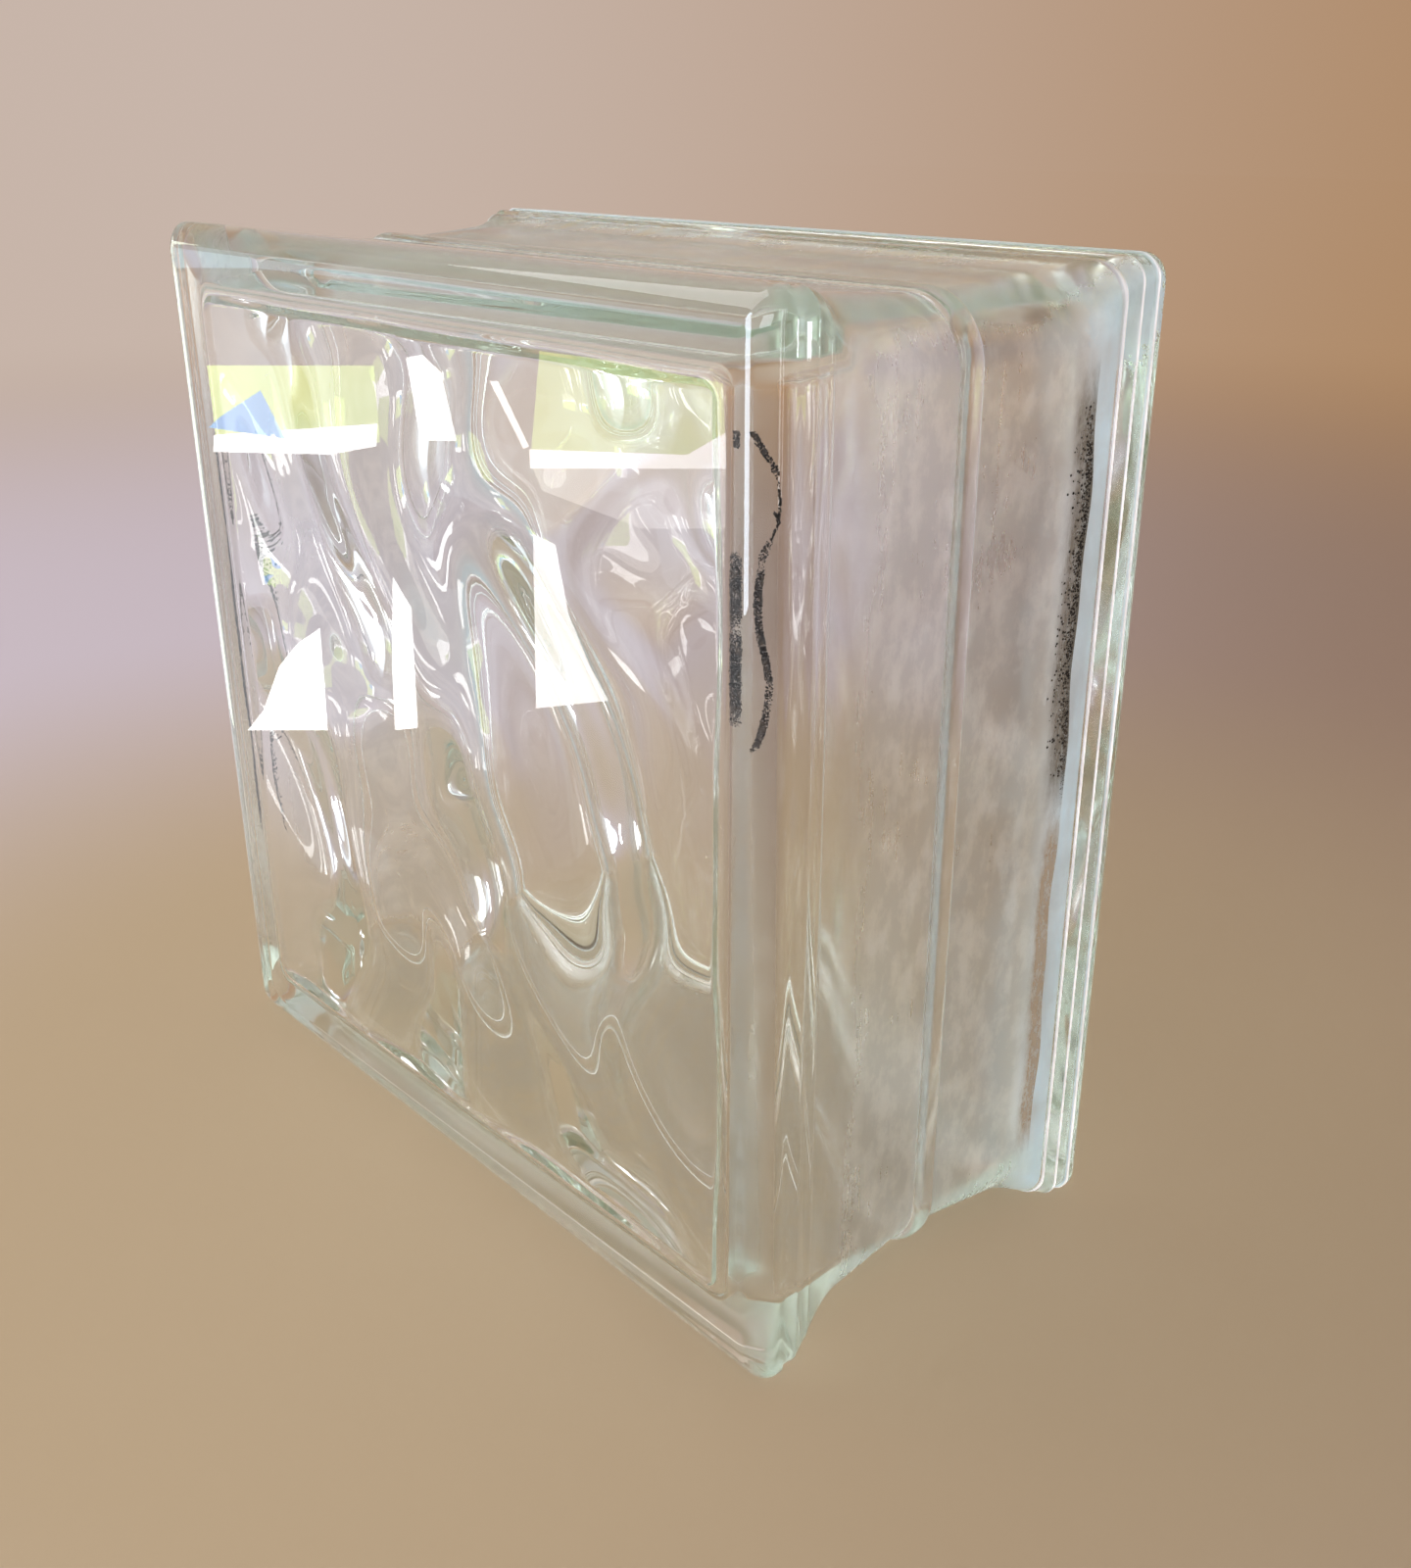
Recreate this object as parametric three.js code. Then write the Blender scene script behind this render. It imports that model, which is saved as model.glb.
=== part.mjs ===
// Pressed-glass building block: two dished halves fused rim to rim round a closed hollow.
//
// Millimetres, +Z up. The block stands on the lips round its two faces, as it does in a wall:
// its width runs along X, its thickness along Y with the front face towards -Y. The origin is
// on the floor, under the middle of the block.
//
// Both halves come from the same mould. Each is built as one half, face down at -Y and rim on
// the plane y = 0, and the rear one is the same half turned round the upright.
import * as THREE from 'three';
import { mergeVertices } from 'three/addons/utils/BufferGeometryUtils.js';

// ---- driving dimensions ----

const FACE_SIZE = 197; // width and height over the lips
const BLOCK_THICKNESS = 98; // from face to face

const EDGE_ROUND_INSET = 5; // how far the rounded edge reaches in over the face
const EDGE_ROUND_DEPTH = 4.7; // and how far back along the lip
const EDGE_CREASE = 30; // degrees round its arc at which it meets the flat face, in a crease
const LIP_LAND = 1; // flat strip on the lip behind the rounded edge
const LIP_CORNER = 4.7; // corner radius of the lip, seen from the front
const FACE_CORNER = 1.6; // corner radius of the flat face inside the rounded edge

const STEP_DROP = 0.6; // step from the lip down to the ledge behind it
const STEP_DEPTH = 0.4;
const LEDGE_DEPTH = 3.9; // width of that ledge

const FLANGE_SLOPE_DEPTH = 11; // the flange's back slopes down to the mortar channel
const CHANNEL_DROP = 2.4; // from the ledge to the channel floor, at the flange
const CHANNEL_CORNER = 12.8; // corner radius of the channel floor
const CHANNEL_FILLET = 4.5; // reach of the round between slope and floor, either way along Y
const CHANNEL_DRAFT = 4.2; // degrees, the floor falls towards the rim

const BEAD_HEIGHT = 1.5; // the ridge that the fused rims leave round the block
const BEAD_HALF_WIDTH = 2.8;

const FACE_GLASS = 4.2; // glass behind the face, where no wave thickens it
const RIM_GLASS = 5; // side wall at the rim, under the bead
const CAVITY_DRAFT = 2.5; // degrees, the hollow narrows towards the face
const CAVITY_CORNER = 4; // corner radius of the hollow
const CAVITY_FILLET = 2.5; // round between the side wall and the back of the face

const WAVE_MARGIN = 10; // the waves rise to their full height this far in from the side wall
// Waves that stand on the back of each face: trough to crest height, distance from crest to
// crest, the way the crests lean from upright, and how they wander from side to side.
const WAVES = [
  { height: 2.4, pitch: 58, lean: 20, wander: 18, wanderPitch: 150, phase: 5 },
  { height: 0.9, pitch: 37, lean: -10, wander: 12, wanderPitch: 80, phase: 3.6 },
  { height: 1.5, pitch: 60, lean: 56, wander: 16, wanderPitch: 120, phase: 5.6 },
];

// ---- how finely curves are cut ----

const ARC_STEPS = 4; // per half corner
const ROUND_STEPS = 6; // across the rounded edge
const BEAD_STEPS = 4;
const FILLET_STEPS = 5;
const WAVE_SIDE_STEPS = 28; // along the straight part of each side of the hollow

// ---- section: a list of stations from the face, over the side, to the hollow ----
//
// A station is one rounded square round the block: how far its sides lie in from the lip
// (inset), how far it lies behind the face (depth) and its corner radius (corner). Where the
// waves reach it, it also has the share of their height that they have there (wave).

const RIM_DEPTH = BLOCK_THICKNESS / 2;
const LIP_END = EDGE_ROUND_DEPTH + LIP_LAND;
const LEDGE_END = LIP_END + STEP_DEPTH + LEDGE_DEPTH;
const CHANNEL_START = LEDGE_END + FLANGE_SLOPE_DEPTH;
const BEAD_START = RIM_DEPTH - BEAD_HALF_WIDTH;
const CHANNEL_INSET = STEP_DROP + CHANNEL_DROP;

const slope = (degrees) => Math.tan(THREE.MathUtils.degToRad(degrees));
const channelFloor = (depth) => CHANNEL_INSET + (depth - CHANNEL_START) * slope(CHANNEL_DRAFT);
const RIM_INSET = channelFloor(RIM_DEPTH);
const cavityWall = (depth) => RIM_INSET + RIM_GLASS + (RIM_DEPTH - depth) * slope(CAVITY_DRAFT);

/** The rounded edge, from the crease at the flat face out to the lip. */
function roundedEdge() {
  const stations = [];
  const crease = THREE.MathUtils.degToRad(EDGE_CREASE);
  for (let i = 0; i <= ROUND_STEPS; i++) {
    const turn = THREE.MathUtils.lerp(crease, Math.PI / 2, i / ROUND_STEPS);
    const across = (1 - Math.sin(turn)) / (1 - Math.sin(crease));
    stations.push({
      inset: EDGE_ROUND_INSET * across,
      depth: EDGE_ROUND_DEPTH * (1 - Math.cos(turn) / Math.cos(crease)),
      corner: THREE.MathUtils.lerp(LIP_CORNER, FACE_CORNER, across),
    });
  }
  return stations;
}

/** Lip land, step and ledge, as far as the top of the flange's sloping back. */
function lipAndLedge() {
  return [
    { inset: 0, depth: LIP_END, corner: LIP_CORNER },
    { inset: STEP_DROP, depth: LIP_END + STEP_DEPTH, corner: LIP_CORNER },
    { inset: STEP_DROP, depth: LEDGE_END, corner: LIP_CORNER },
  ];
}

/** The round at the foot of the flange's back, from the slope onto the channel floor. */
function slopeFoot() {
  const top = new THREE.Vector3(STEP_DROP, LEDGE_END, LIP_CORNER);
  const foot = new THREE.Vector3(CHANNEL_INSET, CHANNEL_START, CHANNEL_CORNER);
  const start = foot.clone().lerp(top, CHANNEL_FILLET / FLANGE_SLOPE_DEPTH);
  const endDepth = CHANNEL_START + CHANNEL_FILLET;
  const end = new THREE.Vector3(channelFloor(endDepth), endDepth, CHANNEL_CORNER);
  const round = new THREE.QuadraticBezierCurve3(start, foot, end);
  return round.getPoints(FILLET_STEPS).map(({ x, y, z }) => ({ inset: x, depth: y, corner: z }));
}

/** The channel floor and, at its end, half of the bead along the seam. */
function channelAndBead() {
  const stations = [];
  for (let i = 0; i <= BEAD_STEPS; i++) {
    const turn = (Math.PI / 2) * (i / BEAD_STEPS);
    const depth = BEAD_START + BEAD_HALF_WIDTH * (1 - Math.cos(turn));
    const inset = channelFloor(depth) - BEAD_HEIGHT * Math.sin(turn);
    stations.push({ inset, depth, corner: CHANNEL_CORNER });
  }
  return stations;
}

/** Share of their height that the waves have at a distance in from the side wall. */
function waveShare(reach) {
  return THREE.MathUtils.smoothstep(reach, 0, WAVE_MARGIN);
}

/** The hollow's side wall from the rim inwards, and the fillet onto the back of the face. */
function cavitySide() {
  const stations = [{ inset: cavityWall(RIM_DEPTH), depth: RIM_DEPTH, corner: CAVITY_CORNER }];
  const filletInset = cavityWall(FACE_GLASS + CAVITY_FILLET);
  for (let i = 0; i <= FILLET_STEPS; i++) {
    const turn = (Math.PI / 2) * (i / FILLET_STEPS);
    const reach = CAVITY_FILLET * (1 - Math.cos(turn));
    stations.push({
      inset: filletInset + reach,
      depth: FACE_GLASS + CAVITY_FILLET * (1 - Math.sin(turn)),
      corner: CAVITY_CORNER,
      wave: waveShare(reach),
    });
  }
  return stations;
}

// ---- surfaces ----

/** Height of the waves at a place on the back of the face, above their troughs. */
function waveHeight(x, z) {
  let height = 0;
  for (const wave of WAVES) {
    const lean = THREE.MathUtils.degToRad(wave.lean);
    const across = x * Math.cos(lean) + z * Math.sin(lean);
    const along = z * Math.cos(lean) - x * Math.sin(lean);
    const shift = wave.wander * Math.sin((2 * Math.PI * along) / wave.wanderPitch + wave.phase);
    const turn = (2 * Math.PI * (across + shift)) / wave.pitch + wave.phase;
    height += (wave.height / 2) * (1 + Math.sin(turn));
  }
  return height;
}

/**
 * The points of one station, anticlockwise as seen from the front. Each of the four sides
 * runs from the middle of one corner to the middle of the next.
 */
function ring({ inset, depth, corner, wave = 0 }, sideSteps) {
  const straight = FACE_SIZE / 2 - inset - corner;
  const side = [];
  const arc = (centre, from, steps) => {
    for (let i = 0; i < steps; i++) {
      const turn = from + (Math.PI / 4) * (i / ARC_STEPS);
      side.push([straight + corner * Math.cos(turn), centre + corner * Math.sin(turn)]);
    }
  };
  arc(-straight, -Math.PI / 4, ARC_STEPS);
  for (let i = 0; i < sideSteps; i++) {
    side.push([straight + corner, -straight + 2 * straight * (i / sideSteps)]);
  }
  arc(straight, 0, ARC_STEPS);
  const points = [];
  for (const [cos, sin] of [[1, 0], [0, 1], [-1, 0], [0, -1]]) {
    for (const [across, along] of side) {
      const x = across * cos - along * sin;
      const z = across * sin + along * cos;
      points.push(new THREE.Vector3(x, depth - RIM_DEPTH + wave * waveHeight(x, z), z));
    }
  }
  return points;
}

/** Adds the band of triangles between two rings of equally many points. */
function addBand(triangles, from, to) {
  from.forEach((point, i) => {
    const next = (i + 1) % from.length;
    triangles.push([point, to[i], from[next]], [to[i], to[next], from[next]]);
  });
}

/** Adds the skin that runs through a list of rings. */
function addSkin(triangles, rings) {
  for (let i = 1; i < rings.length; i++) addBand(triangles, rings[i - 1], rings[i]);
}

/** Adds a flat area at one depth, with an optional hole, facing the front or the rear. */
function addFlat(triangles, outline, hole, facesFront) {
  const flat = (ringPoints) => ringPoints.map((point) => new THREE.Vector2(point.x, point.z));
  const points = hole ? [...outline, ...hole] : outline;
  const faces = THREE.ShapeUtils.triangulateShape(flat(outline), hole ? [flat(hole)] : []);
  for (const [a, b, c] of faces) {
    const corners = [points[a], points[b], points[c]];
    triangles.push(facesFront ? corners : corners.reverse());
  }
}

/** Adds the wavy back of the face: a net stretched over the fillet's last ring. */
function addWavyFace(triangles, edge) {
  const steps = edge.length / 4;
  const at = (index) => edge[index % edge.length];
  const halfWidth = at(steps).z;
  const net = [];
  for (let row = 0; row <= steps; row++) {
    const v = row / steps;
    const right = at(row);
    const left = at(3 * steps - row);
    net.push([]);
    for (let column = 0; column <= steps; column++) {
      const u = column / steps;
      const top = at(2 * steps - column);
      const bottom = at(3 * steps + column);
      const point = new THREE.Vector3()
        .addScaledVector(left, 1 - u).addScaledVector(right, u)
        .addScaledVector(bottom, 1 - v).addScaledVector(top, v)
        .addScaledVector(at(3 * steps), -(1 - u) * (1 - v)).addScaledVector(at(4 * steps), -u * (1 - v))
        .addScaledVector(at(2 * steps), -(1 - u) * v).addScaledVector(at(steps), -u * v);
      const share = waveShare(CAVITY_FILLET + 2 * halfWidth * Math.min(u, 1 - u, v, 1 - v));
      point.y = FACE_GLASS - RIM_DEPTH + share * waveHeight(point.x, point.z);
      net[row].push(point);
    }
  }
  for (let row = 0; row < steps; row++) {
    for (let column = 0; column < steps; column++) {
      const [a, b] = [net[row][column], net[row][column + 1]];
      const [d, c] = [net[row + 1][column], net[row + 1][column + 1]];
      triangles.push([a, c, b], [a, d, c]);
    }
  }
}

/** One pressed half as a closed solid: outside skin, rim, hollow and wavy back. */
function halfBlockGeometry() {
  const outside = [...roundedEdge(), ...lipAndLedge(), ...slopeFoot(), ...channelAndBead()]
    .map((station) => ring(station, 1));
  const inside = cavitySide().map((station) => ring(station, WAVE_SIDE_STEPS));
  const triangles = [];
  addFlat(triangles, outside[0], null, true);
  addSkin(triangles, outside);
  addFlat(triangles, outside.at(-1), inside[0], false);
  addSkin(triangles, inside);
  addWavyFace(triangles, inside.at(-1));
  const soup = new THREE.BufferGeometry().setFromPoints(triangles.flat());
  return mergeVertices(soup);
}

// ---- the block ----

const glass = new THREE.MeshStandardMaterial({
  name: 'glass',
  color: 0xdfe8df,
  roughness: 0.05,
  metalness: 0,
  transparent: true,
  opacity: 0.35,
});

/** Places one half: the front one as built, the rear one turned round the upright. */
function half(name, turn) {
  const mesh = new THREE.Mesh(halfBlockGeometry(), glass.clone());
  mesh.name = name;
  mesh.rotation.z = turn;
  mesh.position.z = FACE_SIZE / 2;
  return mesh;
}

const block = new THREE.Group();
block.name = 'glass_block';
block.add(half('front_half', 0), half('rear_half', Math.PI));

export default block;
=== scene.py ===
"""A pressed-glass building block standing on a pale floor.

Metres, +Z up. The block's width runs along X and its thickness along Y, with the front face
towards -Y. Its two pressed halves are shown as they are once fused: one closed body of glass
round a hollow, with waves pressed into the back of both faces.
"""

import logging
import math
from collections.abc import Callable
from dataclasses import asdict, dataclass, field
from enum import Enum

import bmesh
import bpy
from mathutils import Matrix, Vector


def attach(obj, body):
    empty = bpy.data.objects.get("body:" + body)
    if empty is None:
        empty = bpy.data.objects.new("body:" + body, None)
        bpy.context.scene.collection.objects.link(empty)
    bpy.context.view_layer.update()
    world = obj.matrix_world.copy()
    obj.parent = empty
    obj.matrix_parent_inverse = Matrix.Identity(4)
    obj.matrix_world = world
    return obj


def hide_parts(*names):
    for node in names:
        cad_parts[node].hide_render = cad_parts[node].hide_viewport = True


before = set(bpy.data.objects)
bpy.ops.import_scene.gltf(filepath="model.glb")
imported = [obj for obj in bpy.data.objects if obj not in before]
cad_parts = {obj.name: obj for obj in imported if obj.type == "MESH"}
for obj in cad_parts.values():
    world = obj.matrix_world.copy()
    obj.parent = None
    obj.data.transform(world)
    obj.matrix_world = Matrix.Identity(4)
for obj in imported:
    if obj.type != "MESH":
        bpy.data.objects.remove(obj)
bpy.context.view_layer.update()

log = logging.getLogger("glass_block")

MM = 0.001
WELD = 0.001 * MM
Ring = list[Vector]
Verts = list[bmesh.types.BMVert]
Triple = tuple[float, float, float]
Range = tuple[float, float]
Socket = bpy.types.NodeSocket
WHITE: Triple = (1.0, 1.0, 1.0)


# ---------------------------------------------------------------------------------------
# small helpers
# ---------------------------------------------------------------------------------------


def slope(degrees: float) -> float:
    """Rise over run of an angle in degrees."""
    return math.tan(math.radians(degrees))


def mix(a: float, b: float, share: float) -> float:
    """The value a share of the way from a to b."""
    return a + (b - a) * share


def clamp(value: float) -> float:
    """The value, held between 0 and 1."""
    return min(max(value, 0.0), 1.0)


def bend(start: Vector, middle: Vector, end: Vector, share: float) -> Vector:
    """A point of the curve that leaves its start towards the middle and runs into its end."""
    return start.lerp(middle, share).lerp(middle.lerp(end, share), share)


def link_object(name: str, data: bpy.types.ID) -> bpy.types.Object:
    """Makes an object at the origin and puts it in the scene.

    Args:
        name: Name of the object.
        data: Its camera, lamp or mesh, whose vertices are already in place.

    Returns:
        The new object.
    """
    obj = bpy.data.objects.new(name, data)
    bpy.context.scene.collection.objects.link(obj)
    return obj


def run_tree(start: bpy.types.Mesh, tree: bpy.types.NodeTree, values: dict[str, object]) -> bpy.types.Mesh:
    """Runs a Geometry Nodes tree on a mesh.

    Args:
        start: The mesh that the tree is given.
        tree: The tree.
        values: Values by the names of the tree's inputs.

    Returns:
        The result as a plain mesh.
    """
    obj = link_object(tree.name, start)
    modifier = obj.modifiers.new(tree.name, "NODES")
    modifier.node_group = tree
    for item in tree.interface.items_tree:
        if item.item_type == "SOCKET" and item.in_out == "INPUT" and item.name in values:
            modifier[item.identifier] = values[item.name]
    graph = bpy.context.evaluated_depsgraph_get()
    graph.update()
    mesh = bpy.data.meshes.new_from_object(obj.evaluated_get(graph), depsgraph=graph)
    obj.modifiers.clear()
    bpy.data.objects.remove(obj)
    return mesh


@dataclass(frozen=True)
class Noise:
    """A noise pattern; its scale is the number of its lumps in a metre."""

    scale: float
    detail: float
    roughness: float = 0.5


class TreeKind(Enum):
    """Kinds of node group, by Blender's names for them."""

    GEOMETRY = "GeometryNodeTree"
    SHADER = "ShaderNodeTree"


class NodeTree:
    """A short way to add and join nodes in a shader or geometry tree."""

    def __init__(self, tree: bpy.types.NodeTree) -> None:
        """Takes the shader, geometry or group tree that the nodes go in."""
        self.tree = tree

    @classmethod
    def of(cls, owner: bpy.types.Material | bpy.types.World) -> "NodeTree":
        """Takes the nodes of a material or world, and empties them.

        Args:
            owner: The material or world.

        Returns:
            Its tree, with no nodes yet.
        """
        owner.use_nodes = True
        owner.node_tree.nodes.clear()
        return cls(owner.node_tree)

    @classmethod
    def group(
        cls, kind: TreeKind, name: str, inputs: dict[str, str], outputs: dict[str, str]
    ) -> "NodeTree":
        """Makes a node group.

        Args:
            kind: What the group works on.
            name: Name of the group.
            inputs: Kinds of its inputs by name, such as Float.
            outputs: Kinds of its outputs by name.

        Returns:
            The group, with no nodes yet.
        """
        tree = bpy.data.node_groups.new(name, kind.value)
        for way, sockets in (("INPUT", inputs), ("OUTPUT", outputs)):
            for label, kind in sockets.items():
                tree.interface.new_socket(label, in_out=way, socket_type=f"NodeSocket{kind}")
        return cls(tree)

    def add(self, kind: str, settings: dict | None = None, **inputs: object) -> bpy.types.Node:
        """Adds a node, sets its properties and fills or joins its inputs.

        Args:
            kind: The node's type name.
            settings: Properties of the node, such as its operation.
            **inputs: Values or sockets for inputs, by name with _ for a space, or i0, i1 for
                the first and second input. A colour is given by three numbers.

        Returns:
            The new node.
        """
        node = self.tree.nodes.new(kind)
        for name, value in (settings or {}).items():
            setattr(node, name, value)
        for name, value in inputs.items():
            key = int(name[1:]) if name[0] == "i" and name[1:].isdigit() else name.replace("_", " ")
            socket = node.inputs[key]
            if isinstance(value, Socket):
                self.tree.links.new(value, socket)
            else:
                socket.default_value = (*value, 1.0) if socket.type == "RGBA" else value
        return node

    def math(self, operation: str, *values: object) -> Socket:
        """Adds a Math node on numbers or sockets and gives its result."""
        inputs = {f"i{i}": value for i, value in enumerate(values)}
        return self.add("ShaderNodeMath", {"operation": operation}, **inputs).outputs[0]

    def times(self, first: object, *others: object) -> Socket:
        """Multiplies numbers or sockets, in order.

        Args:
            first: The first one.
            *others: Those that it is multiplied by.

        Returns:
            The product.
        """
        for other in others:
            first = self.math("MULTIPLY", first, other)
        return first

    def measure(self, operation: str, *vectors: object) -> Socket:
        """Adds a Vector Math node that gives a number, such as a length."""
        inputs = {f"i{i}": vector for i, vector in enumerate(vectors)}
        return self.add("ShaderNodeVectorMath", {"operation": operation}, **inputs).outputs["Value"]

    def span(
        self, value: Socket, ends: Range, results: tuple[object, object] = (0.0, 1.0), smooth: bool = False
    ) -> Socket:
        """Carries a number from one range over to another and holds it there.

        Args:
            value: The number.
            ends: The two ends of its range.
            results: Numbers or sockets for what comes out at each end.
            smooth: Whether it eases in and out.

        Returns:
            The result.
        """
        shape = {"clamp": True, "interpolation_type": "SMOOTHSTEP" if smooth else "LINEAR"}
        sizes = {"From_Min": ends[0], "From_Max": ends[1], "To_Min": results[0], "To_Max": results[1]}
        return self.add("ShaderNodeMapRange", shape, Value=value, **sizes).outputs[0]

    def noise(self, place: Socket, noise: Noise) -> Socket:
        """Adds a noise texture and gives its value at a place."""
        sizes = {name.title(): size for name, size in asdict(noise).items()}
        return self.add("ShaderNodeTexNoise", Vector=place, **sizes).outputs["Fac"]

    def tint(self, share: Socket, one: object, two: object) -> Socket:
        """Mixes two colours or sockets of colour; a share of 1 gives the second."""
        return self.add("ShaderNodeMix", {"data_type": "RGBA"}, Factor=share, i6=one, i7=two).outputs[2]

    def switch(self, share: Socket, one: bpy.types.Node, two: bpy.types.Node) -> bpy.types.Node:
        """Mixes two shaders; a share of 1 gives the second."""
        return self.add("ShaderNodeMixShader", i0=share, i1=one.outputs[0], i2=two.outputs[0])

    def finish(self, geometry: Socket, material: Socket) -> None:
        """Ends a geometry tree: makes its instances real and sets their material.

        Args:
            geometry: The result.
            material: Its material.
        """
        real = self.add("GeometryNodeRealizeInstances", Geometry=geometry)
        dressed = self.add("GeometryNodeSetMaterial", Geometry=real.outputs[0], Material=material)
        self.add("NodeGroupOutput", Geometry=dressed.outputs[0])


# ---------------------------------------------------------------------------------------
# glass
# ---------------------------------------------------------------------------------------


@dataclass(frozen=True)
class PressedGlass:
    """Clear soda-lime glass with a faint green cast, hazy where the mould was rough.

    The haze is 0 on fire-polished glass, 1 in the mortar channel and more on the rear half's crests. It
    is roughness with a pale veil, which is the shader's sheen. The veil is partly frost and partly
    painted light: its cold tint and strength on the rear flange's back paint a glow of window light,
    and its white on the rear crests is a painted highlight. Hazy level surfaces take a painted warm
    shade.

    Attributes:
        name: Name of the material.
        refraction: Index of refraction.
        tint: Colour of the light that comes through.
        tint_density: How soon it takes that colour, per metre.
        shadow_tint: What the glass lets through into its shadow.
        haze_roughness: Roughness where the haze is 1.
        cloud: Soft patches in the haze.
        streaks: Fine streaks in the haze, round the block.
        streak_stretch: Scale of the streaks along their length.
        cloud_share: Part that the patches play in the pattern; the streaks play the rest.
        pattern_range: Values of the pattern from the thinnest haze to the full one.
        thinnest: The thinnest haze, as a share of the full one.
        level_range: Z of the normal from an upright surface to a level one.
        level_haze: Haze of a level surface, as a share of an upright one's.
        top_tint: Painted warm shade on hazy level surfaces, a tan that stands in for the warm light from
            above.
        veil: Strength of the veil in the channel.
        slope_veil: Strength of the veil on the rear flange's back, past 1 so that its sheen paints a glow
            of window light there.
        veil_roughness: Roughness of the veil.
        cold_range: Haze over which the channel's veil gives way to the flange's.
        white_range: Haze over which the flange's veil gives way to the painted white highlight of the rear
            crests.
        channel_sheen: Colour of the veil in the channel.
        slope_sheen: Colour of the veil on the flange's back, a cold aqua-white that paints the window light
            seen through its frost.
        crest_sheen: Colour of the painted white highlight on the rear half's crests.
        smudge: Pattern of the smudges in the haze.
        smudge_stretch: Scale of the smudges along the height.
        smudge_range: Values of that pattern from grime to clean haze.
        blotch: How much the clean haze adds to the veil's strength.
        grime_tint: Colour of the grime.
        scuff_place: Middle of the scuffed patch on the rear flange's corner.
        scuff_radius: Its radius.
        scuff_ragged: How far its edge strays.
        scuff_soft: Half the width of its edge.
        scuff_haze: Its haze, which also gives it the flange's painted glow.
        scuff_grit: Pattern of its edge.
        relief: Strength and height of the relief that the streaks have.
    """

    name: str = "pressed_glass"
    refraction: float = 1.5
    tint: Triple = (0.75, 0.83, 0.76)
    tint_density: float = 9.0
    shadow_tint: Triple = (0.95, 0.96, 0.95)
    haze_roughness: float = 0.45
    cloud: Noise = Noise(45.0, 6.0, 0.65)
    streaks: Noise = Noise(700.0, 4.0)
    streak_stretch: float = 0.06
    cloud_share: float = 0.7
    pattern_range: Range = (0.3, 0.65)
    thinnest: float = 0.45
    level_range: Range = (0.3, 0.8)
    level_haze: float = 0.55
    top_tint: Triple = (0.66, 0.51, 0.26)
    veil: float = 0.18
    slope_veil: float = 1.8
    veil_roughness: float = 0.8
    cold_range: Range = (1.1, 1.5)
    white_range: Range = (1.6, 2.6)
    channel_sheen: Triple = (0.85, 0.92, 1.0)
    slope_sheen: Triple = (0.66, 0.84, 0.96)
    crest_sheen: Triple = (0.97, 0.96, 1.0)
    smudge: Noise = Noise(170.0, 8.0, 0.72)
    smudge_stretch: float = 0.6
    smudge_range: Range = (0.46, 0.62)
    blotch: float = 0.5
    grime_tint: Triple = (0.70, 0.73, 0.78)
    scuff_place: Triple = (0.0945, 0.0375, 0.1875)
    scuff_radius: float = 10 * MM
    scuff_ragged: float = 16 * MM
    scuff_soft: float = 1 * MM
    scuff_haze: float = 1.42
    scuff_grit: Noise = Noise(420.0, 5.0, 0.7)
    relief: tuple[float, float] = (0.05, 0.2 * MM)

    def _scuffed(self, net: NodeTree, coords: Socket) -> Socket:
        """The ragged scuffed patch on one corner of the flange.

        Args:
            net: The material's nodes.
            coords: The place on the glass.

        Returns:
            1 in the patch, 0 outside it.
        """
        away = net.measure("DISTANCE", coords, self.scuff_place)
        reach = net.math("MULTIPLY_ADD", net.noise(coords, self.scuff_grit), self.scuff_ragged, away)
        edge = self.scuff_radius + self.scuff_ragged / 2
        return net.span(reach, (edge + self.scuff_soft, edge - self.scuff_soft))

    def build(self) -> bpy.types.Material:
        """Makes the material.

        Returns:
            A material that reads the mesh's own haze and around attributes.
        """
        material = bpy.data.materials.new(self.name)
        net = NodeTree.of(material)
        coords = net.add("ShaderNodeTexCoord").outputs["Object"]
        moulded = net.add("ShaderNodeAttribute", {"attribute_name": "haze"}).outputs["Fac"]
        haze = net.math("MAXIMUM", moulded, net.times(self._scuffed(net, coords), self.scuff_haze))

        around = net.add("ShaderNodeAttribute", {"attribute_name": "around"}).outputs["Fac"]
        depth = net.add("ShaderNodeSeparateXYZ", i0=coords).outputs["Y"]
        lanes = net.add("ShaderNodeCombineXYZ", X=net.times(around, self.streak_stretch), Y=depth)
        streaks = net.noise(lanes.outputs[0], self.streaks)
        cloud = net.times(net.noise(coords, self.cloud), self.cloud_share)
        pattern = net.math("ADD", cloud, net.times(streaks, 1 - self.cloud_share))
        patchy = net.span(pattern, self.pattern_range, (self.thinnest, 1.0))
        up = net.add("ShaderNodeSeparateXYZ", i0=net.add("ShaderNodeNewGeometry").outputs["Normal"])
        upright = net.span(net.math("ABSOLUTE", up.outputs["Z"]), self.level_range, (1.0, 0.0))
        worn = net.math("MULTIPLY_ADD", upright, 1 - self.level_haze, self.level_haze)
        frost = net.times(haze, patchy, worn)

        drawn = net.add("ShaderNodeMapping", Vector=coords, Scale=(1.0, 1.0, self.smudge_stretch))
        smudged = net.span(net.noise(drawn.outputs[0], self.smudge), self.smudge_range)
        # the veil is partly frost and partly painted light: on the rear flange's back its strength past 1
        # and its cold tint paint a glow of window light
        cold = net.span(haze, self.cold_range)
        strength = net.math("MULTIPLY_ADD", cold, self.slope_veil - self.veil, self.veil)
        strength = net.math("MULTIPLY_ADD", smudged, self.blotch, strength)
        sheen = net.tint(cold, self.channel_sheen, self.slope_sheen)
        # past the highlight range the veil turns white: a painted highlight on the rear crests and lip edge
        sheen = net.tint(net.span(haze, self.white_range), sheen, self.crest_sheen)

        # hazy level surfaces take a painted warm shade: their colour turns tan to stand in for the warm
        # light from above
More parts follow.
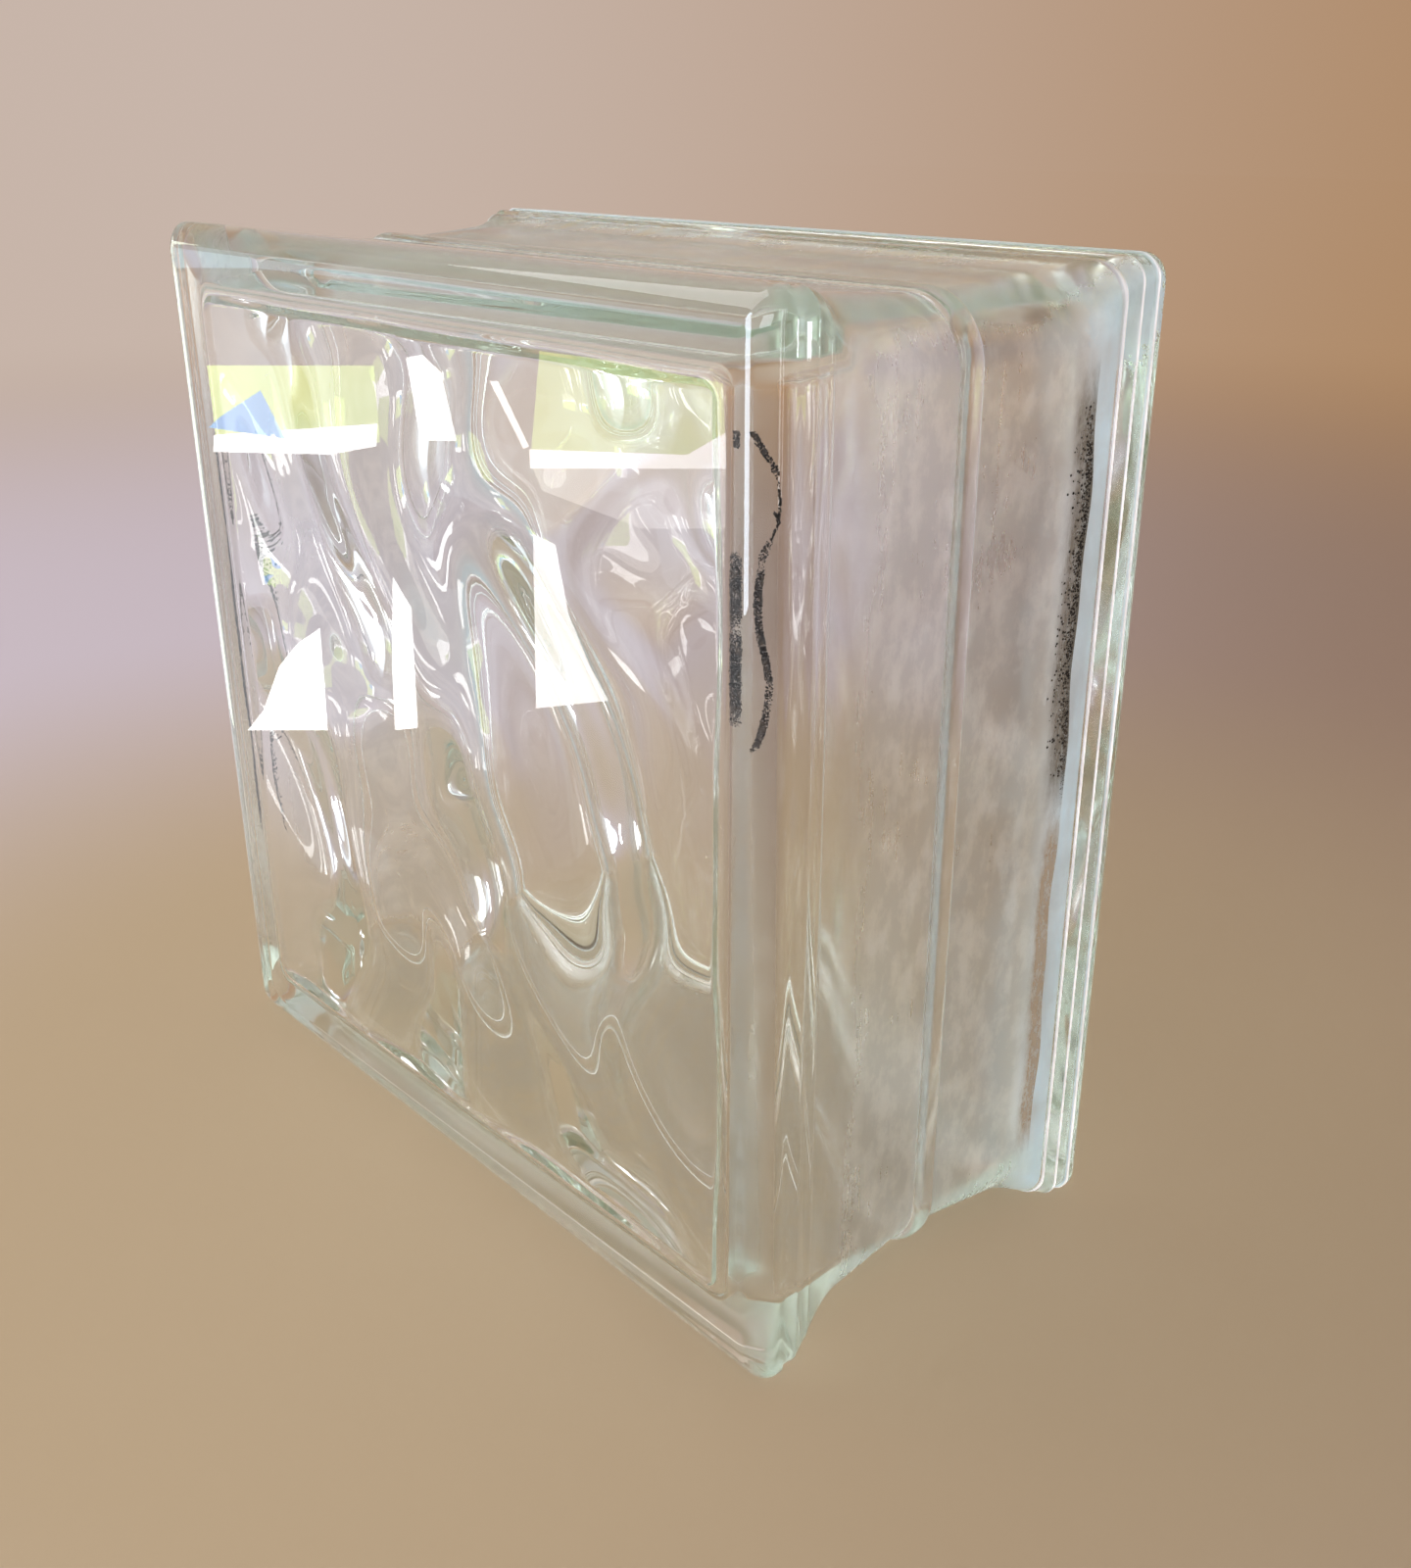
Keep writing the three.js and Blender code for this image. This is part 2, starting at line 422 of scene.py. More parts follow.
        recolour_share = net.times(frost, net.math("SUBTRACT", 1.0, upright))
        grime = net.times(net.math("MINIMUM", haze, 1.0), net.math("SUBTRACT", 1.0, smudged))
        colour = net.tint(grime, net.tint(recolour_share, WHITE, self.top_tint), self.grime_tint)
        strong, high = self.relief
        relief = net.add("ShaderNodeBump", Strength=strong, Distance=high, Height=net.times(streaks, haze))
        glass = net.add(
            "ShaderNodeBsdfPrincipled",
            Base_Color=colour,
            Roughness=net.times(frost, self.haze_roughness),
            IOR=self.refraction,
            Transmission_Weight=1.0,
            Normal=relief.outputs["Normal"],
            Sheen_Weight=net.times(frost, upright, strength),
            Sheen_Roughness=self.veil_roughness,
            Sheen_Tint=sheen,
        )
        clear = net.add("ShaderNodeBsdfTransparent", Color=self.shadow_tint)
        surface = net.switch(net.add("ShaderNodeLightPath").outputs["Is Shadow Ray"], glass, clear)
        absorb = net.add("ShaderNodeVolumeAbsorption", Color=self.tint, Density=self.tint_density)
        net.add("ShaderNodeOutputMaterial", Surface=surface.outputs[0], Volume=absorb.outputs[0])
        return material


# ---------------------------------------------------------------------------------------
# waves in the back of the faces
# ---------------------------------------------------------------------------------------


@dataclass(frozen=True)
class Wave:
    """One train of ripples across a face. Lengths in metres, lean in degrees from upright."""

    height: float
    pitch: float
    lean: float
    wander: float
    wander_pitch: float
    phase: float

    def sizes(self) -> dict[str, float]:
        """Its sizes by the names of the tree's inputs."""
        return {name.replace("_", " ").title(): float(size) for name, size in asdict(self).items()}


WAVES = (
    Wave(2.4 * MM, 58 * MM, 20, 18 * MM, 150 * MM, 5.0),
    Wave(0.9 * MM, 37 * MM, -10, 12 * MM, 80 * MM, 3.6),
    Wave(1.5 * MM, 60 * MM, 56, 16 * MM, 120 * MM, 5.6),
)
WAVE_SIZES = tuple(WAVES[0].sizes())


class WaveTree:
    """Geometry Nodes that press the waves into the hollow's two faces."""

    def __init__(self, waves: tuple[Wave, ...], middle: float) -> None:
        """Keeps the trains of ripples and the height of the block's middle above the floor."""
        self.waves = waves
        self.middle = middle

    def _train(self) -> bpy.types.NodeTree:
        """Builds the group that gives the height of one train of ripples.

        Returns:
            A group with the train's sizes as inputs and its height as output.
        """
        inputs = dict.fromkeys(("Across Face", "Up Face", *WAVE_SIZES), "Float")
        net = NodeTree.group(TreeKind.GEOMETRY, "wave_train", inputs, {"Rise": "Float"})
        given = net.add("NodeGroupInput").outputs
        lean = net.math("RADIANS", given["Lean"])
        cos, sin = net.math("COSINE", lean), net.math("SINE", lean)
        x, z = given["Across Face"], given["Up Face"]
        across = net.math("ADD", net.times(x, cos), net.times(z, sin))
        along = net.math("SUBTRACT", net.times(z, cos), net.times(x, sin))

        def turn(length: Socket, pitch: Socket) -> Socket:
            """Sine of a length measured in turns of a pitch, with the train's phase."""
            angle = net.times(net.math("DIVIDE", length, pitch), 2 * math.pi)
            return net.math("SINE", net.math("ADD", angle, given["Phase"]))

        shift = net.times(turn(along, given["Wander Pitch"]), given["Wander"])
        ripple = turn(net.math("ADD", across, shift), given["Pitch"])
        share = net.math("MULTIPLY_ADD", ripple, 0.5, 0.5)
        net.add("NodeGroupOutput", Rise=net.times(share, given["Height"]))
        return net.tree

    def build(self) -> bpy.types.NodeTree:
        """Builds the tree: every point of a face moves along Y by the sum of the trains.

        Returns:
            The tree, with each train's sizes, numbered, as named inputs.
        """
        numbered = [f"{name} {i + 1}" for i in range(len(self.waves)) for name in WAVE_SIZES]
        inputs = {"Geometry": "Geometry"} | dict.fromkeys((*numbered, "Middle"), "Float")
        inputs |= {"Glass": "Material"}
        net = NodeTree.group(TreeKind.GEOMETRY, "press_waves", inputs, {"Geometry": "Geometry"})
        given = net.add("NodeGroupInput").outputs
        place = net.add("ShaderNodeSeparateXYZ", i0=net.add("GeometryNodeInputPosition").outputs[0])
        push = net.add("GeometryNodeInputNamedAttribute", {"data_type": "FLOAT"}, Name="wave").outputs[0]
        x = net.times(place.outputs["X"], net.math("SIGN", push))
        z = net.math("SUBTRACT", place.outputs["Z"], given["Middle"])
        train = self._train()
        rise: object = 0.0
        for i in range(len(self.waves)):
            sizes = {name: given[f"{name} {i + 1}"] for name in WAVE_SIZES}
            node = net.add("GeometryNodeGroup", {"node_tree": train}, Across_Face=x, Up_Face=z, **sizes)
            rise = net.math("ADD", rise, node.outputs["Rise"])
        offset = net.add("ShaderNodeCombineXYZ", Y=net.times(rise, push))
        moved = net.add("GeometryNodeSetPosition", Geometry=given["Geometry"], Offset=offset.outputs[0])
        net.finish(moved.outputs[0], given["Glass"])
        return net.tree

    def press(self, blank: bpy.types.Mesh, glass: bpy.types.Material) -> bpy.types.Mesh:
        """Presses the waves into a body.

        Args:
            blank: The body with flat-backed faces and the wave attribute.
            glass: Its material.

        Returns:
            The pressed body.
        """
        values: dict[str, object] = {"Middle": self.middle, "Glass": glass}
        for i, wave in enumerate(self.waves):
            values |= {f"{name} {i + 1}": size for name, size in wave.sizes().items()}
        return run_tree(blank, self.build(), values)


# ---------------------------------------------------------------------------------------
# the block
# ---------------------------------------------------------------------------------------


class Side(Enum):
    """The sides of the block that have a channel along the height."""

    LEFT = -1
    RIGHT = 1


class Half(Enum):
    """The two pressed halves, by the way that their depth runs along Y."""

    FRONT = 1
    REAR = -1


@dataclass(frozen=True)
class Station:
    """One rounded square round the block, with how hazy the glass is there.

    Attributes:
        inset: How far its sides lie in from the lip.
        depth: How far it lies behind the face.
        corner: Its corner radius.
        haze: 0 for fire-polished glass, 1 for the rough mortar channel; past 1 the veil paints a glow, and
            past 1.6 a white highlight.
        wave: How strongly the waves show there.
    """

    inset: float
    depth: float
    corner: float
    haze: float = 0.0
    wave: float = 0.0


@dataclass
class FusedBlock:
    """The glass body: outer skin, mortar channel with the seam's bead, hollow and waves.

    Lengths are in metres, angles in degrees. An inset is measured in from the lip, a depth from
    the face towards the seam.
    """

    face_size: float = 197 * MM
    thickness: float = 98 * MM

    # the rounded edge from the face to the lip, and the crease that it starts with
    face_border: float = 0.4 * MM
    face_corner: float = 1.6 * MM
    edge_round_inset: float = 5 * MM
    edge_round_depth: float = 4.7 * MM
    edge_crease: float = 30
    crease_round: float = 1.8 * MM
    crease_round_end: float = 36
    edge_length: float = 7 * MM

    # the lip, with the shares of its land over which its crest band sets in (a little haze at the front, a
    # painted white highlight at the rear), and the step behind it
    lip_land: float = 1 * MM
    lip_wear: Range = (0.5, 0.4)
    lip_corner: float = 4.7 * MM
    step_drop: float = 0.6 * MM
    step_depth: float = 0.4 * MM
    ledge_depth: float = 3.9 * MM

    # the flange's sloping back, the mortar channel and the seam's bead
    flange_slope_depth: float = 11 * MM
    channel_drop: float = 2.4 * MM
    channel_corner: float = 12.8 * MM
    channel_fillet: float = 4.5 * MM
    channel_draft: float = 4.2
    bead_height: float = 1.5 * MM
    bead_half_width: float = 2.8 * MM

    # the hollow
    face_glass: float = 4.2 * MM
    rim_glass: float = 5 * MM
    cavity_draft: float = 2.5
    cavity_corner: float = 4 * MM
    cavity_fillet: float = 2.5 * MM
    wave_margin: float = 10 * MM
    waves: tuple[Wave, ...] = WAVES

    # the low ridges: their heights on the two halves, the shares of their width that make the crest (a
    # little haze at the front, a painted white highlight at the rear), and where on the slope the second
    # one starts, with the rows that follow it
    ridge_width: float = 1.1 * MM
    ridge_height: tuple[float, float] = (0.12 * MM, 0.24 * MM)
    ridge_crest: Range = (0.25, 0.75)
    ridge_place: float = 0.4
    slope_rows: tuple[float, float] = (0.04, 0.8)

    # how hazy the two halves are, where a haze past 1 also paints a glow and past 1.6 a white highlight,
    # and over how many rows the foot's haze becomes the channel's
    ridge_haze: tuple[float, float] = (0.2, 3.0)
    ledge_haze: tuple[float, float] = (0.15, 0.6)
    slope_haze: tuple[float, float] = (0.35, 1.5)
    foot_haze: tuple[float, float] = (0.8, 1.1)
    foot_rows: int = 2
    bead_haze: float = 0.6
    glass: PressedGlass = field(default_factory=PressedGlass)

    # how finely the mesh is divided
    sharp_angle: float = 28
    wall_steps: int = 6
    round_steps: int = 8
    edge_steps: int = 12
    skin_side_steps: int = 24
    pane_side_steps: int = 110

    @property
    def rim(self) -> float:
        """Depth of the seam behind the face."""
        return self.thickness / 2

    @property
    def channel_start(self) -> float:
        """Depth at which the flange's back meets the channel floor."""
        return self.lip_end + self.step_depth + self.ledge_depth + self.flange_slope_depth

    @property
    def lip_end(self) -> float:
        """Depth of the lip's inner edge."""
        return self.edge_round_depth + self.lip_land

    def channel_floor(self, depth: float) -> float:
        """Inset of the channel floor at a depth."""
        return self.step_drop + self.channel_drop + (depth - self.channel_start) * slope(self.channel_draft)

    def cavity_wall(self, depth: float) -> float:
        """Inset of the hollow's side wall at a depth."""
        return self.channel_floor(self.rim) + self.rim_glass + (self.rim - depth) * slope(self.cavity_draft)

    def outside(self, half: Half) -> list[Station]:
        """Stations of one half's outer skin.

        Args:
            half: The half; the rear one's flange is the hazier.

        Returns:
            Stations from just inside the face's edge to the seam.
        """
        rear = half is Half.REAR
        start = Vector((self.edge_round_inset + self.crease_round, 0.0, self.face_corner))
        crease, end = self.edge_profile(self.edge_crease), self.edge_profile(self.crease_round_end)
        stations = [Station(start.x + self.face_border, 0.0, self.face_corner)]
        for i in range(self.round_steps):
            stations.append(Station(*bend(start, crease, end, i / self.round_steps)))
        for i in range(self.edge_steps + 1):
            degrees = mix(self.crease_round_end, 90, i / self.edge_steps)
            stations.append(Station(*self.edge_profile(degrees)))
        lip, ledge = self.lip_end, self.lip_end + self.step_depth + self.ledge_depth
        # the lip's crest band: a little haze at the front, a painted white highlight at the rear
        plain, worn = (lip - share * self.lip_land for share in self.lip_wear)
        stations += [
            Station(0.0, plain, self.lip_corner, self.ledge_haze[rear]),
            Station(0.0, worn, self.lip_corner, self.ridge_haze[rear]),
            Station(0.0, lip, self.lip_corner, self.ridge_haze[rear]),
            Station(self.step_drop, lip + self.step_depth, self.lip_corner, self.ledge_haze[rear]),
        ]
        top = Vector((self.step_drop, ledge, self.lip_corner))
        stations += self._ridge(top - Vector((0.0, self.ridge_width, 0.0)), top, half)
        stations += self._flange_foot(top, half)
        floor_start, bead_start = self.channel_start + self.channel_fillet, self.rim - self.bead_half_width
        for i in range(1, self.wall_steps + 1):
            depth = mix(floor_start, bead_start, i / self.wall_steps)
            haze = mix(self.foot_haze[rear], 1.0, min(i / self.foot_rows, 1.0))
            stations.append(Station(self.channel_floor(depth), depth, self.channel_corner, haze))
        for i in range(1, self.round_steps + 1):
            turn = math.pi / 2 * i / self.round_steps
            depth = bead_start + self.bead_half_width * (1 - math.cos(turn))
            inset = self.channel_floor(depth) - self.bead_height * math.sin(turn)
            stations.append(Station(inset, depth, self.channel_corner, self.bead_haze))
        return stations

    def edge_profile(self, degrees: float) -> Vector:
        """A point of the rounded edge between the face and the lip.

        Args:
            degrees: How far the edge has turned from the face, from the crease's angle to 90.

        Returns:
            Its inset, depth and corner radius.
        """
        turn, crease = math.radians(degrees), math.radians(self.edge_crease)
        across = (1 - math.sin(turn)) / (1 - math.sin(crease))
        depth = self.edge_round_depth * (1 - math.cos(turn) / math.cos(crease))
        corner = mix(self.lip_corner, self.face_corner, across)
        return Vector((self.edge_round_inset * across, depth, corner))

    def edge_point(self, reach: float) -> tuple[float, float]:
        """A point near the edge between the face and the lip.

        Args:
            reach: Distance from the crease towards the lip, negative on the face.

        Returns:
            Its inset and depth.
        """
        if reach < 0:
            return self.edge_round_inset - reach, 0.0
        point = self.edge_profile(mix(self.edge_crease, 90, min(reach / self.edge_length, 1.0)))
        return point.x, point.y

    def _ridge(self, start: Vector, end: Vector, half: Half) -> list[Station]:
        """A low ridge pressed along the flange; the rear one's crest has a painted white highlight.

        Args:
            start: Where it starts, as inset, depth and corner radius.
            end: Where it ends.
            half: The half.

        Returns:
            Stations over the ridge.
        """
        rear = half is Half.REAR
        crest_start, crest_end = self.ridge_crest
        stations = []
        for i in range(self.round_steps + 1):
            share = i / self.round_steps
            rise = self.ridge_height[rear] * math.sin(math.pi * share)
            haze = self.ridge_haze[rear] if crest_start <= share <= crest_end else self.ledge_haze[rear]
            stations.append(Station(*(start.lerp(end, share) - Vector((rise, 0.0, 0.0))), haze))
        return stations

    def _flange_foot(self, top: Vector, half: Half) -> list[Station]:
        """The flange's sloping back, the ridge along it and the round at its foot.

        Args:
            top: Where the slope starts, as inset, depth and corner radius.
            half: The half.

        Returns:
            Stations down to the channel floor.
        """
        rear = half is Half.REAR
        slope_haze, foot_haze = self.slope_haze[rear], self.foot_haze[rear]
        start, foot, end = self.flange_round()
        ridge_end = self.ridge_place + self.ridge_width / (start.y - top.y)
        stations = self._ridge(top.lerp(start, self.ridge_place), top.lerp(start, ridge_end), half)
        gap, last = self.slope_rows
        for share in (ridge_end + gap, last):
            stations.append(Station(*top.lerp(start, share), slope_haze))
        for i in range(self.round_steps + 1):
            share = i / self.round_steps
            stations.append(Station(*bend(start, foot, end, share), mix(slope_haze, foot_haze, share)))
        return stations

    def flange_round(self) -> tuple[Vector, Vector, Vector]:
        """The curve that rounds the flange's foot.

        Returns:
            Its start, its control point and its end, each as inset, depth and corner radius.
        """
        slope_top = Vector((self.step_drop, self.channel_start - self.flange_slope_depth, self.lip_corner))
        foot = Vector((self.channel_floor(self.channel_start), self.channel_start, self.channel_corner))
        start = foot.lerp(slope_top, self.channel_fillet / self.flange_slope_depth)
        end_depth = self.channel_start + self.channel_fillet
        end = Vector((self.channel_floor(end_depth), end_depth, self.channel_corner))
        return start, foot, end

    def foot_inset(self, depth: float) -> float:
        """The skin near the flange's foot.

        Args:
            depth: A depth behind the face.

        Returns:
            The skin's inset there.
        """
        start, foot, end = self.flange_round()
        share = (depth - start.y) / (end.y - start.y)
        if share >= 1:
            return self.channel_floor(depth)
        if share <= 0:
            return start.x + (depth - start.y) * self.channel_drop / self.flange_slope_depth
        return bend(start, foot, end, share).x

    def inside(self) -> list[Station]:
        """Stations of one half's hollow.

        Returns:
            Stations from the seam to the edge of the waves.
        """
        stations = []
        fillet_depth = self.face_glass + self.cavity_fillet
        for i in range(self.wall_steps):
            depth = mix(self.rim, fillet_depth, i / self.wall_steps)
            stations.append(Station(self.cavity_wall(depth), depth, self.cavity_corner))
        for i in range(self.edge_steps + 1):
            turn = math.pi / 2 * i / self.edge_steps
            reach = self.cavity_fillet * (1 - math.cos(turn))
            depth = self.face_glass + self.cavity_fillet * (1 - math.sin(turn))
            inset = self.cavity_wall(fillet_depth) + reach
            stations.append(Station(inset, depth, self.cavity_corner, 0.0, self.fade(reach)))
        return stations

    def ring(self, station: Station, side_steps: int, half: Half) -> Ring:
        """Points of a station, anticlockwise as seen from the half's own face.

        Args:
            station: Where the ring lies.
            side_steps: Steps along each straight side.
            half: The half that it is on.

        Returns:
            The ring's points; each quarter runs from one corner's middle to the next.
        """
        straight = self.face_size / 2 - station.inset - station.corner
        side: list[tuple[float, float]] = []
        arc = station.corner

        def add_arc(centre: float, start: float) -> None:
            """Adds the points of half a corner.

            Args:
                centre: Height of the corner's centre.
                start: Angle of its first point.
            """
            for i in range(self.round_steps):
                turn = start + math.pi / 4 * i / self.round_steps
                side.append((straight + arc * math.cos(turn), centre + arc * math.sin(turn)))

        add_arc(-straight, -math.pi / 4)
        for i in range(side_steps):
            side.append((straight + arc, -straight + 2 * straight * i / side_steps))
        add_arc(straight, 0.0)
        y = station.depth - self.rim
        points = []
        for cos, sin in ((1, 0), (0, 1), (-1, 0), (0, -1)):
            for x, z in side:
                across, up = x * cos - z * sin, x * sin + z * cos
                points.append(Vector((across * half.value, y * half.value, up + self.face_size / 2)))
        return points

    def _net(self, edge: Ring) -> list[list[Vector]]:
        """A net stretched over a ring of four equal quarters.

        Args:
            edge: The ring.

        Returns:
            Rows of points from the bottom of the ring to its top.
        """
        steps = len(edge) // 4

        def at(index: int) -> Vector:
            """The ring's point at an index that may run past its end."""
            return edge[index % len(edge)]

        rows = []
        for row in range(steps + 1):
            v = row / steps
            right, left = at(row), at(3 * steps - row)
            line = []
            for column in range(steps + 1):
                u = column / steps
                top, bottom = at(2 * steps - column), at(3 * steps + column)
                sides = left * (1 - u) + right * u + bottom * (1 - v) + top * v
                low = at(3 * steps) * (1 - u) * (1 - v) + at(4 * steps) * u * (1 - v)
                high = at(2 * steps) * (1 - u) * v + at(steps) * u * v
                line.append(sides - low - high)
            rows.append(line)
        return rows

    def fade(self, reach: float) -> float:
        """How strongly the waves show at a distance in from the hollow's side wall, 0 to 1."""
        share = clamp(reach / self.wave_margin)
        return share * share * (3 - 2 * share)

    def mesh(self) -> bpy.types.Mesh:
        """Builds the closed body with flat-backed faces and its wave and haze attributes.

        Returns:
            The mesh.
        """
        work = bmesh.new()
        haze = work.verts.layers.float.new("haze")
        wave = work.verts.layers.float.new("wave")
        around = work.verts.layers.float.new("around")

        def place(station: Station, side_steps: int, half: Half) -> Verts:
            """Adds a station's vertices with its haze and waves.

            Args:
                station: The station.
                side_steps: Steps along each straight side.
                half: The half that it is on.

            Returns:
                The vertices, in order.
            """
            made: Verts = []
            for point in self.ring(station, side_steps, half):
                vert = work.verts.new(point)
                vert[around] = made[-1][around] + (point - made[-1].co).length if made else 0.0
                vert[haze] = station.haze
                vert[wave] = station.wave * half.value
                made.append(vert)
            return made

        def skin(rings: list[Verts]) -> None:
            """Joins neighbouring rings with bands of quads.

            Args:
                rings: The rings, with as many vertices each.
            """
            for one, two in zip(rings, rings[1:]):
                for i in range(len(one)):
                    j = (i + 1) % len(one)
                    work.faces.new((one[i], one[j], two[j], two[i]))

        for half in Half:
            outer = [place(station, self.skin_side_steps, half) for station in self.outside(half)]
            skin(outer)
            work.faces.new(outer[0])
            inner = [place(station, self.pane_side_steps, half) for station in self.inside()]
            skin(inner)
            self._add_pane(work, inner[-1], half, wave)
        bmesh.ops.remove_doubles(work, verts=work.verts, dist=WELD)
        bmesh.ops.recalc_face_normals(work, faces=work.faces)
        self._face_hollow_inwards(work)
        mesh = bpy.data.meshes.new("fused_block")
        work.to_mesh(mesh)
        work.free()
        return mesh

    def _add_pane(
        self, work: bmesh.types.BMesh, edge: Verts, half: Half, wave: bmesh.types.BMLayerItem
    ) -> None:
        """Adds the back of one face inside its last ring.

        Args:
            work: The mesh being built.
            edge: The vertices round it.
            half: The half that it is on.
            wave: The layer that says how strongly the waves show.
        """
        net = self._net([vert.co.copy() for vert in edge])
        steps = len(net) - 1
        reach = abs(edge[steps].co.z - self.face_size / 2)
        rows = []
        for row, line in enumerate(net):
            made = []
            for column, point in enumerate(line):
                vert = work.verts.new(point)
                share = min(column, row, steps - column, steps - row) / steps
                vert[wave] = half.value * self.fade(self.cavity_fillet + 2 * reach * share)
                made.append(vert)
            rows.append(made)
        for low, high in zip(rows, rows[1:]):
            for i in range(steps):
                work.faces.new((low[i], low[i + 1], high[i + 1], high[i]))

    def _face_hollow_inwards(self, work: bmesh.types.BMesh) -> None:
        """Turns the normals of the hollow's shell into the hollow.

        Args:
            work: The mesh, with both shells' normals consistent.
        """
        todo = set(work.faces)
        while todo:
            shell, front = [], [todo.pop()]
            while front:
                face = front.pop()
                shell.append(face)
                for edge in face.edges:
                    for near in edge.link_faces:
                        if near in todo:
                            todo.remove(near)
                            front.append(near)
            middles = [face.calc_center_median() for face in shell]
            volume = sum(m.dot(face.normal) * face.calc_area() for m, face in zip(middles, shell)) / 3
            reach = max(abs(m.y) for m in middles)
            is_hollow = reach < self.rim - self.face_glass / 2
            if (volume > 0) == is_hollow:
                bmesh.ops.reverse_faces(work, faces=shell)

    def build(self) -> bpy.types.Object:
        """Builds the piece, presses its waves and dresses it.

        Returns:
            The block, standing for both CAD halves.
        """
        pressed = WaveTree(self.waves, self.face_size / 2).press(self.mesh(), self.glass.build())
        pressed.name = "fused_block"
        block = link_object("fused_block", pressed)
        for polygon in pressed.polygons:
            polygon.use_smooth = True
        pressed.set_sharp_from_angle(angle=math.radians(self.sharp_angle))
        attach(block, "root")
        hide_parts("front_half", "rear_half")
        return block


# ---------------------------------------------------------------------------------------
# old bedding compound left in the mortar channel
# ---------------------------------------------------------------------------------------


@dataclass(frozen=True)
class CoveStrip:
    """A strip of glass along the cove at a flange's foot, up one side of the block.

    Attributes:
        name: Name of what lies on it.
        side: The side of the block.
        half: The half whose flange it follows.
        low: Height of its lower end.
        high: Height of its upper end.
        edge: Depth of its sharp edge behind the face, where the cover is thickest.
        band: Width of the thick part.
        spread: Width of the thin part beyond it, over the channel's floor.
        thin: Cover where the thin part starts, as a share of the thick part's.
    """

    name: str
    side: Side
    half: Half
    low: float
    high: float
    edge: float
    band: float
    spread: float
    thin: float = 1.0


@dataclass(frozen=True)
class CrumbLine:
    """A line of dark crumbs on a strip.

    Attributes:
        strip: The strip.
        seed: Seed of its crumbs.
        grain: Size of its crumbs, as a share of the largest line's.
    """

    strip: CoveStrip
    seed: int
    grain: float = 1.0


def cove(name: str, side: Side, half: Half, *sizes: float, thin: float = 1.0) -> CoveStrip:
    """A strip with its low and high end, edge, band and spread given in millimetres."""
    return CoveStrip(name, side, half, *(size * MM for size in sizes), thin)


THIN = 0.22
CRUMB_LINES = (
    CrumbLine(cove("right_rear", Side.RIGHT, Half.REAR, 101, 173, 17.9, 1.1, 4.4, thin=THIN), 3),
    CrumbLine(cove("right_rear_edge", Side.RIGHT, Half.REAR, 96, 168, 17.5, 0.7, 0.3, thin=THIN), 5, 0.5),
    CrumbLine(cove("left_front", Side.LEFT, Half.FRONT, 46, 152, 17.5, 1.0, 2.0, thin=THIN), 8),
)


@dataclass(frozen=True)
class EdgeSmear:
    """A thin smear of compound on the front right edge, between the face and its lip.

    Attributes:
        name: Name of the smear.
        path: Points of its middle: height, and distance from the crease towards the lip.
        width: Its width.
        seed: Seed of its crumbs.
        side: The side of the block.
        half: The half whose edge it is on.
    """

    name: str
    path: tuple[tuple[float, float], ...]
    width: float
    seed: int
    side: Side = Side.RIGHT
    half: Half = Half.FRONT

    def reach(self, height: float) -> float:
        """Where the smear's middle lies at a height.

        Args:
            height: The height.

        Returns:
            Its distance from the crease.
        """
        for (low, one), (high, two) in zip(self.path, self.path[1:]):
            if height <= high:
                return mix(one, two, max(height - low, 0.0) / (high - low))
        return self.path[-1][1]


def smear(name: str, width: float, seed: int, *path: tuple[float, float]) -> EdgeSmear:
    """A smear with its lengths given in millimetres."""
    points = tuple((height * MM, reach * MM) for height, reach in path)
    return EdgeSmear(name, points, width * MM, seed)


EDGE_SMEARS = (
    smear("top", 1.15, 21, (170.5, 3.65), (172.0, 3.1), (173.2, 2.25), (174.7, 1.35), (176.7, 0.4)),
    smear("fleck", 0.5, 22, (163.6, 3.9), (165.4, 3.3)),
    smear("link", 0.45, 27, (161.0, 2.8), (163.6, 3.9), (167.0, 4.1), (170.6, 3.65)),
    smear(
        "main", 1.2, 23,
        (127.2, 0.8), (129.3, 1.5), (131.6, 2.1), (134.1, 2.5), (136.9, 2.8), (138.9, 2.95),
        (140.5, 2.6), (142.6, 2.3), (144.9, 1.8), (147.6, 1.4), (150.3, 1.2), (153.7, 1.3),
        (156.1, 1.5), (157.8, 1.75), (159.3, 2.05), (161.1, 2.9),
    ),
    smear("face", 3.0, 25, (130.5, -2.8), (158.6, -2.85)),
    smear("face_top", 1.6, 26, (173.9, -2.8), (176.5, -2.8)),
)


@dataclass(frozen=True)
class Tar:
    """Dull, nearly black old compound, dusted grey in places."""

    name: str = "old_compound"
    colour: Triple = (0.012, 0.010, 0.009)
    dust: Triple = (0.08, 0.06, 0.045)
    dust_noise: Noise = Noise(600.0, 3.0)
    dust_range: Range = (0.50, 0.70)
    roughness: float = 0.8
    gloss: float = 0.2

    def build(self) -> bpy.types.Material:
        """Makes the material.

        Returns:
            The compound.
        """
        material = bpy.data.materials.new(self.name)
        net = NodeTree.of(material)
        coords = net.add("ShaderNodeTexCoord").outputs["Object"]
        recolour_share = net.span(net.noise(coords, self.dust_noise), self.dust_range)
        paint = net.add(
            "ShaderNodeBsdfPrincipled",
            Base_Color=net.tint(recolour_share, self.colour, self.dust),
            Roughness=self.roughness,
            Specular_IOR_Level=self.gloss,
        )
        net.add("ShaderNodeOutputMaterial", Surface=paint.outputs[0])
        return material


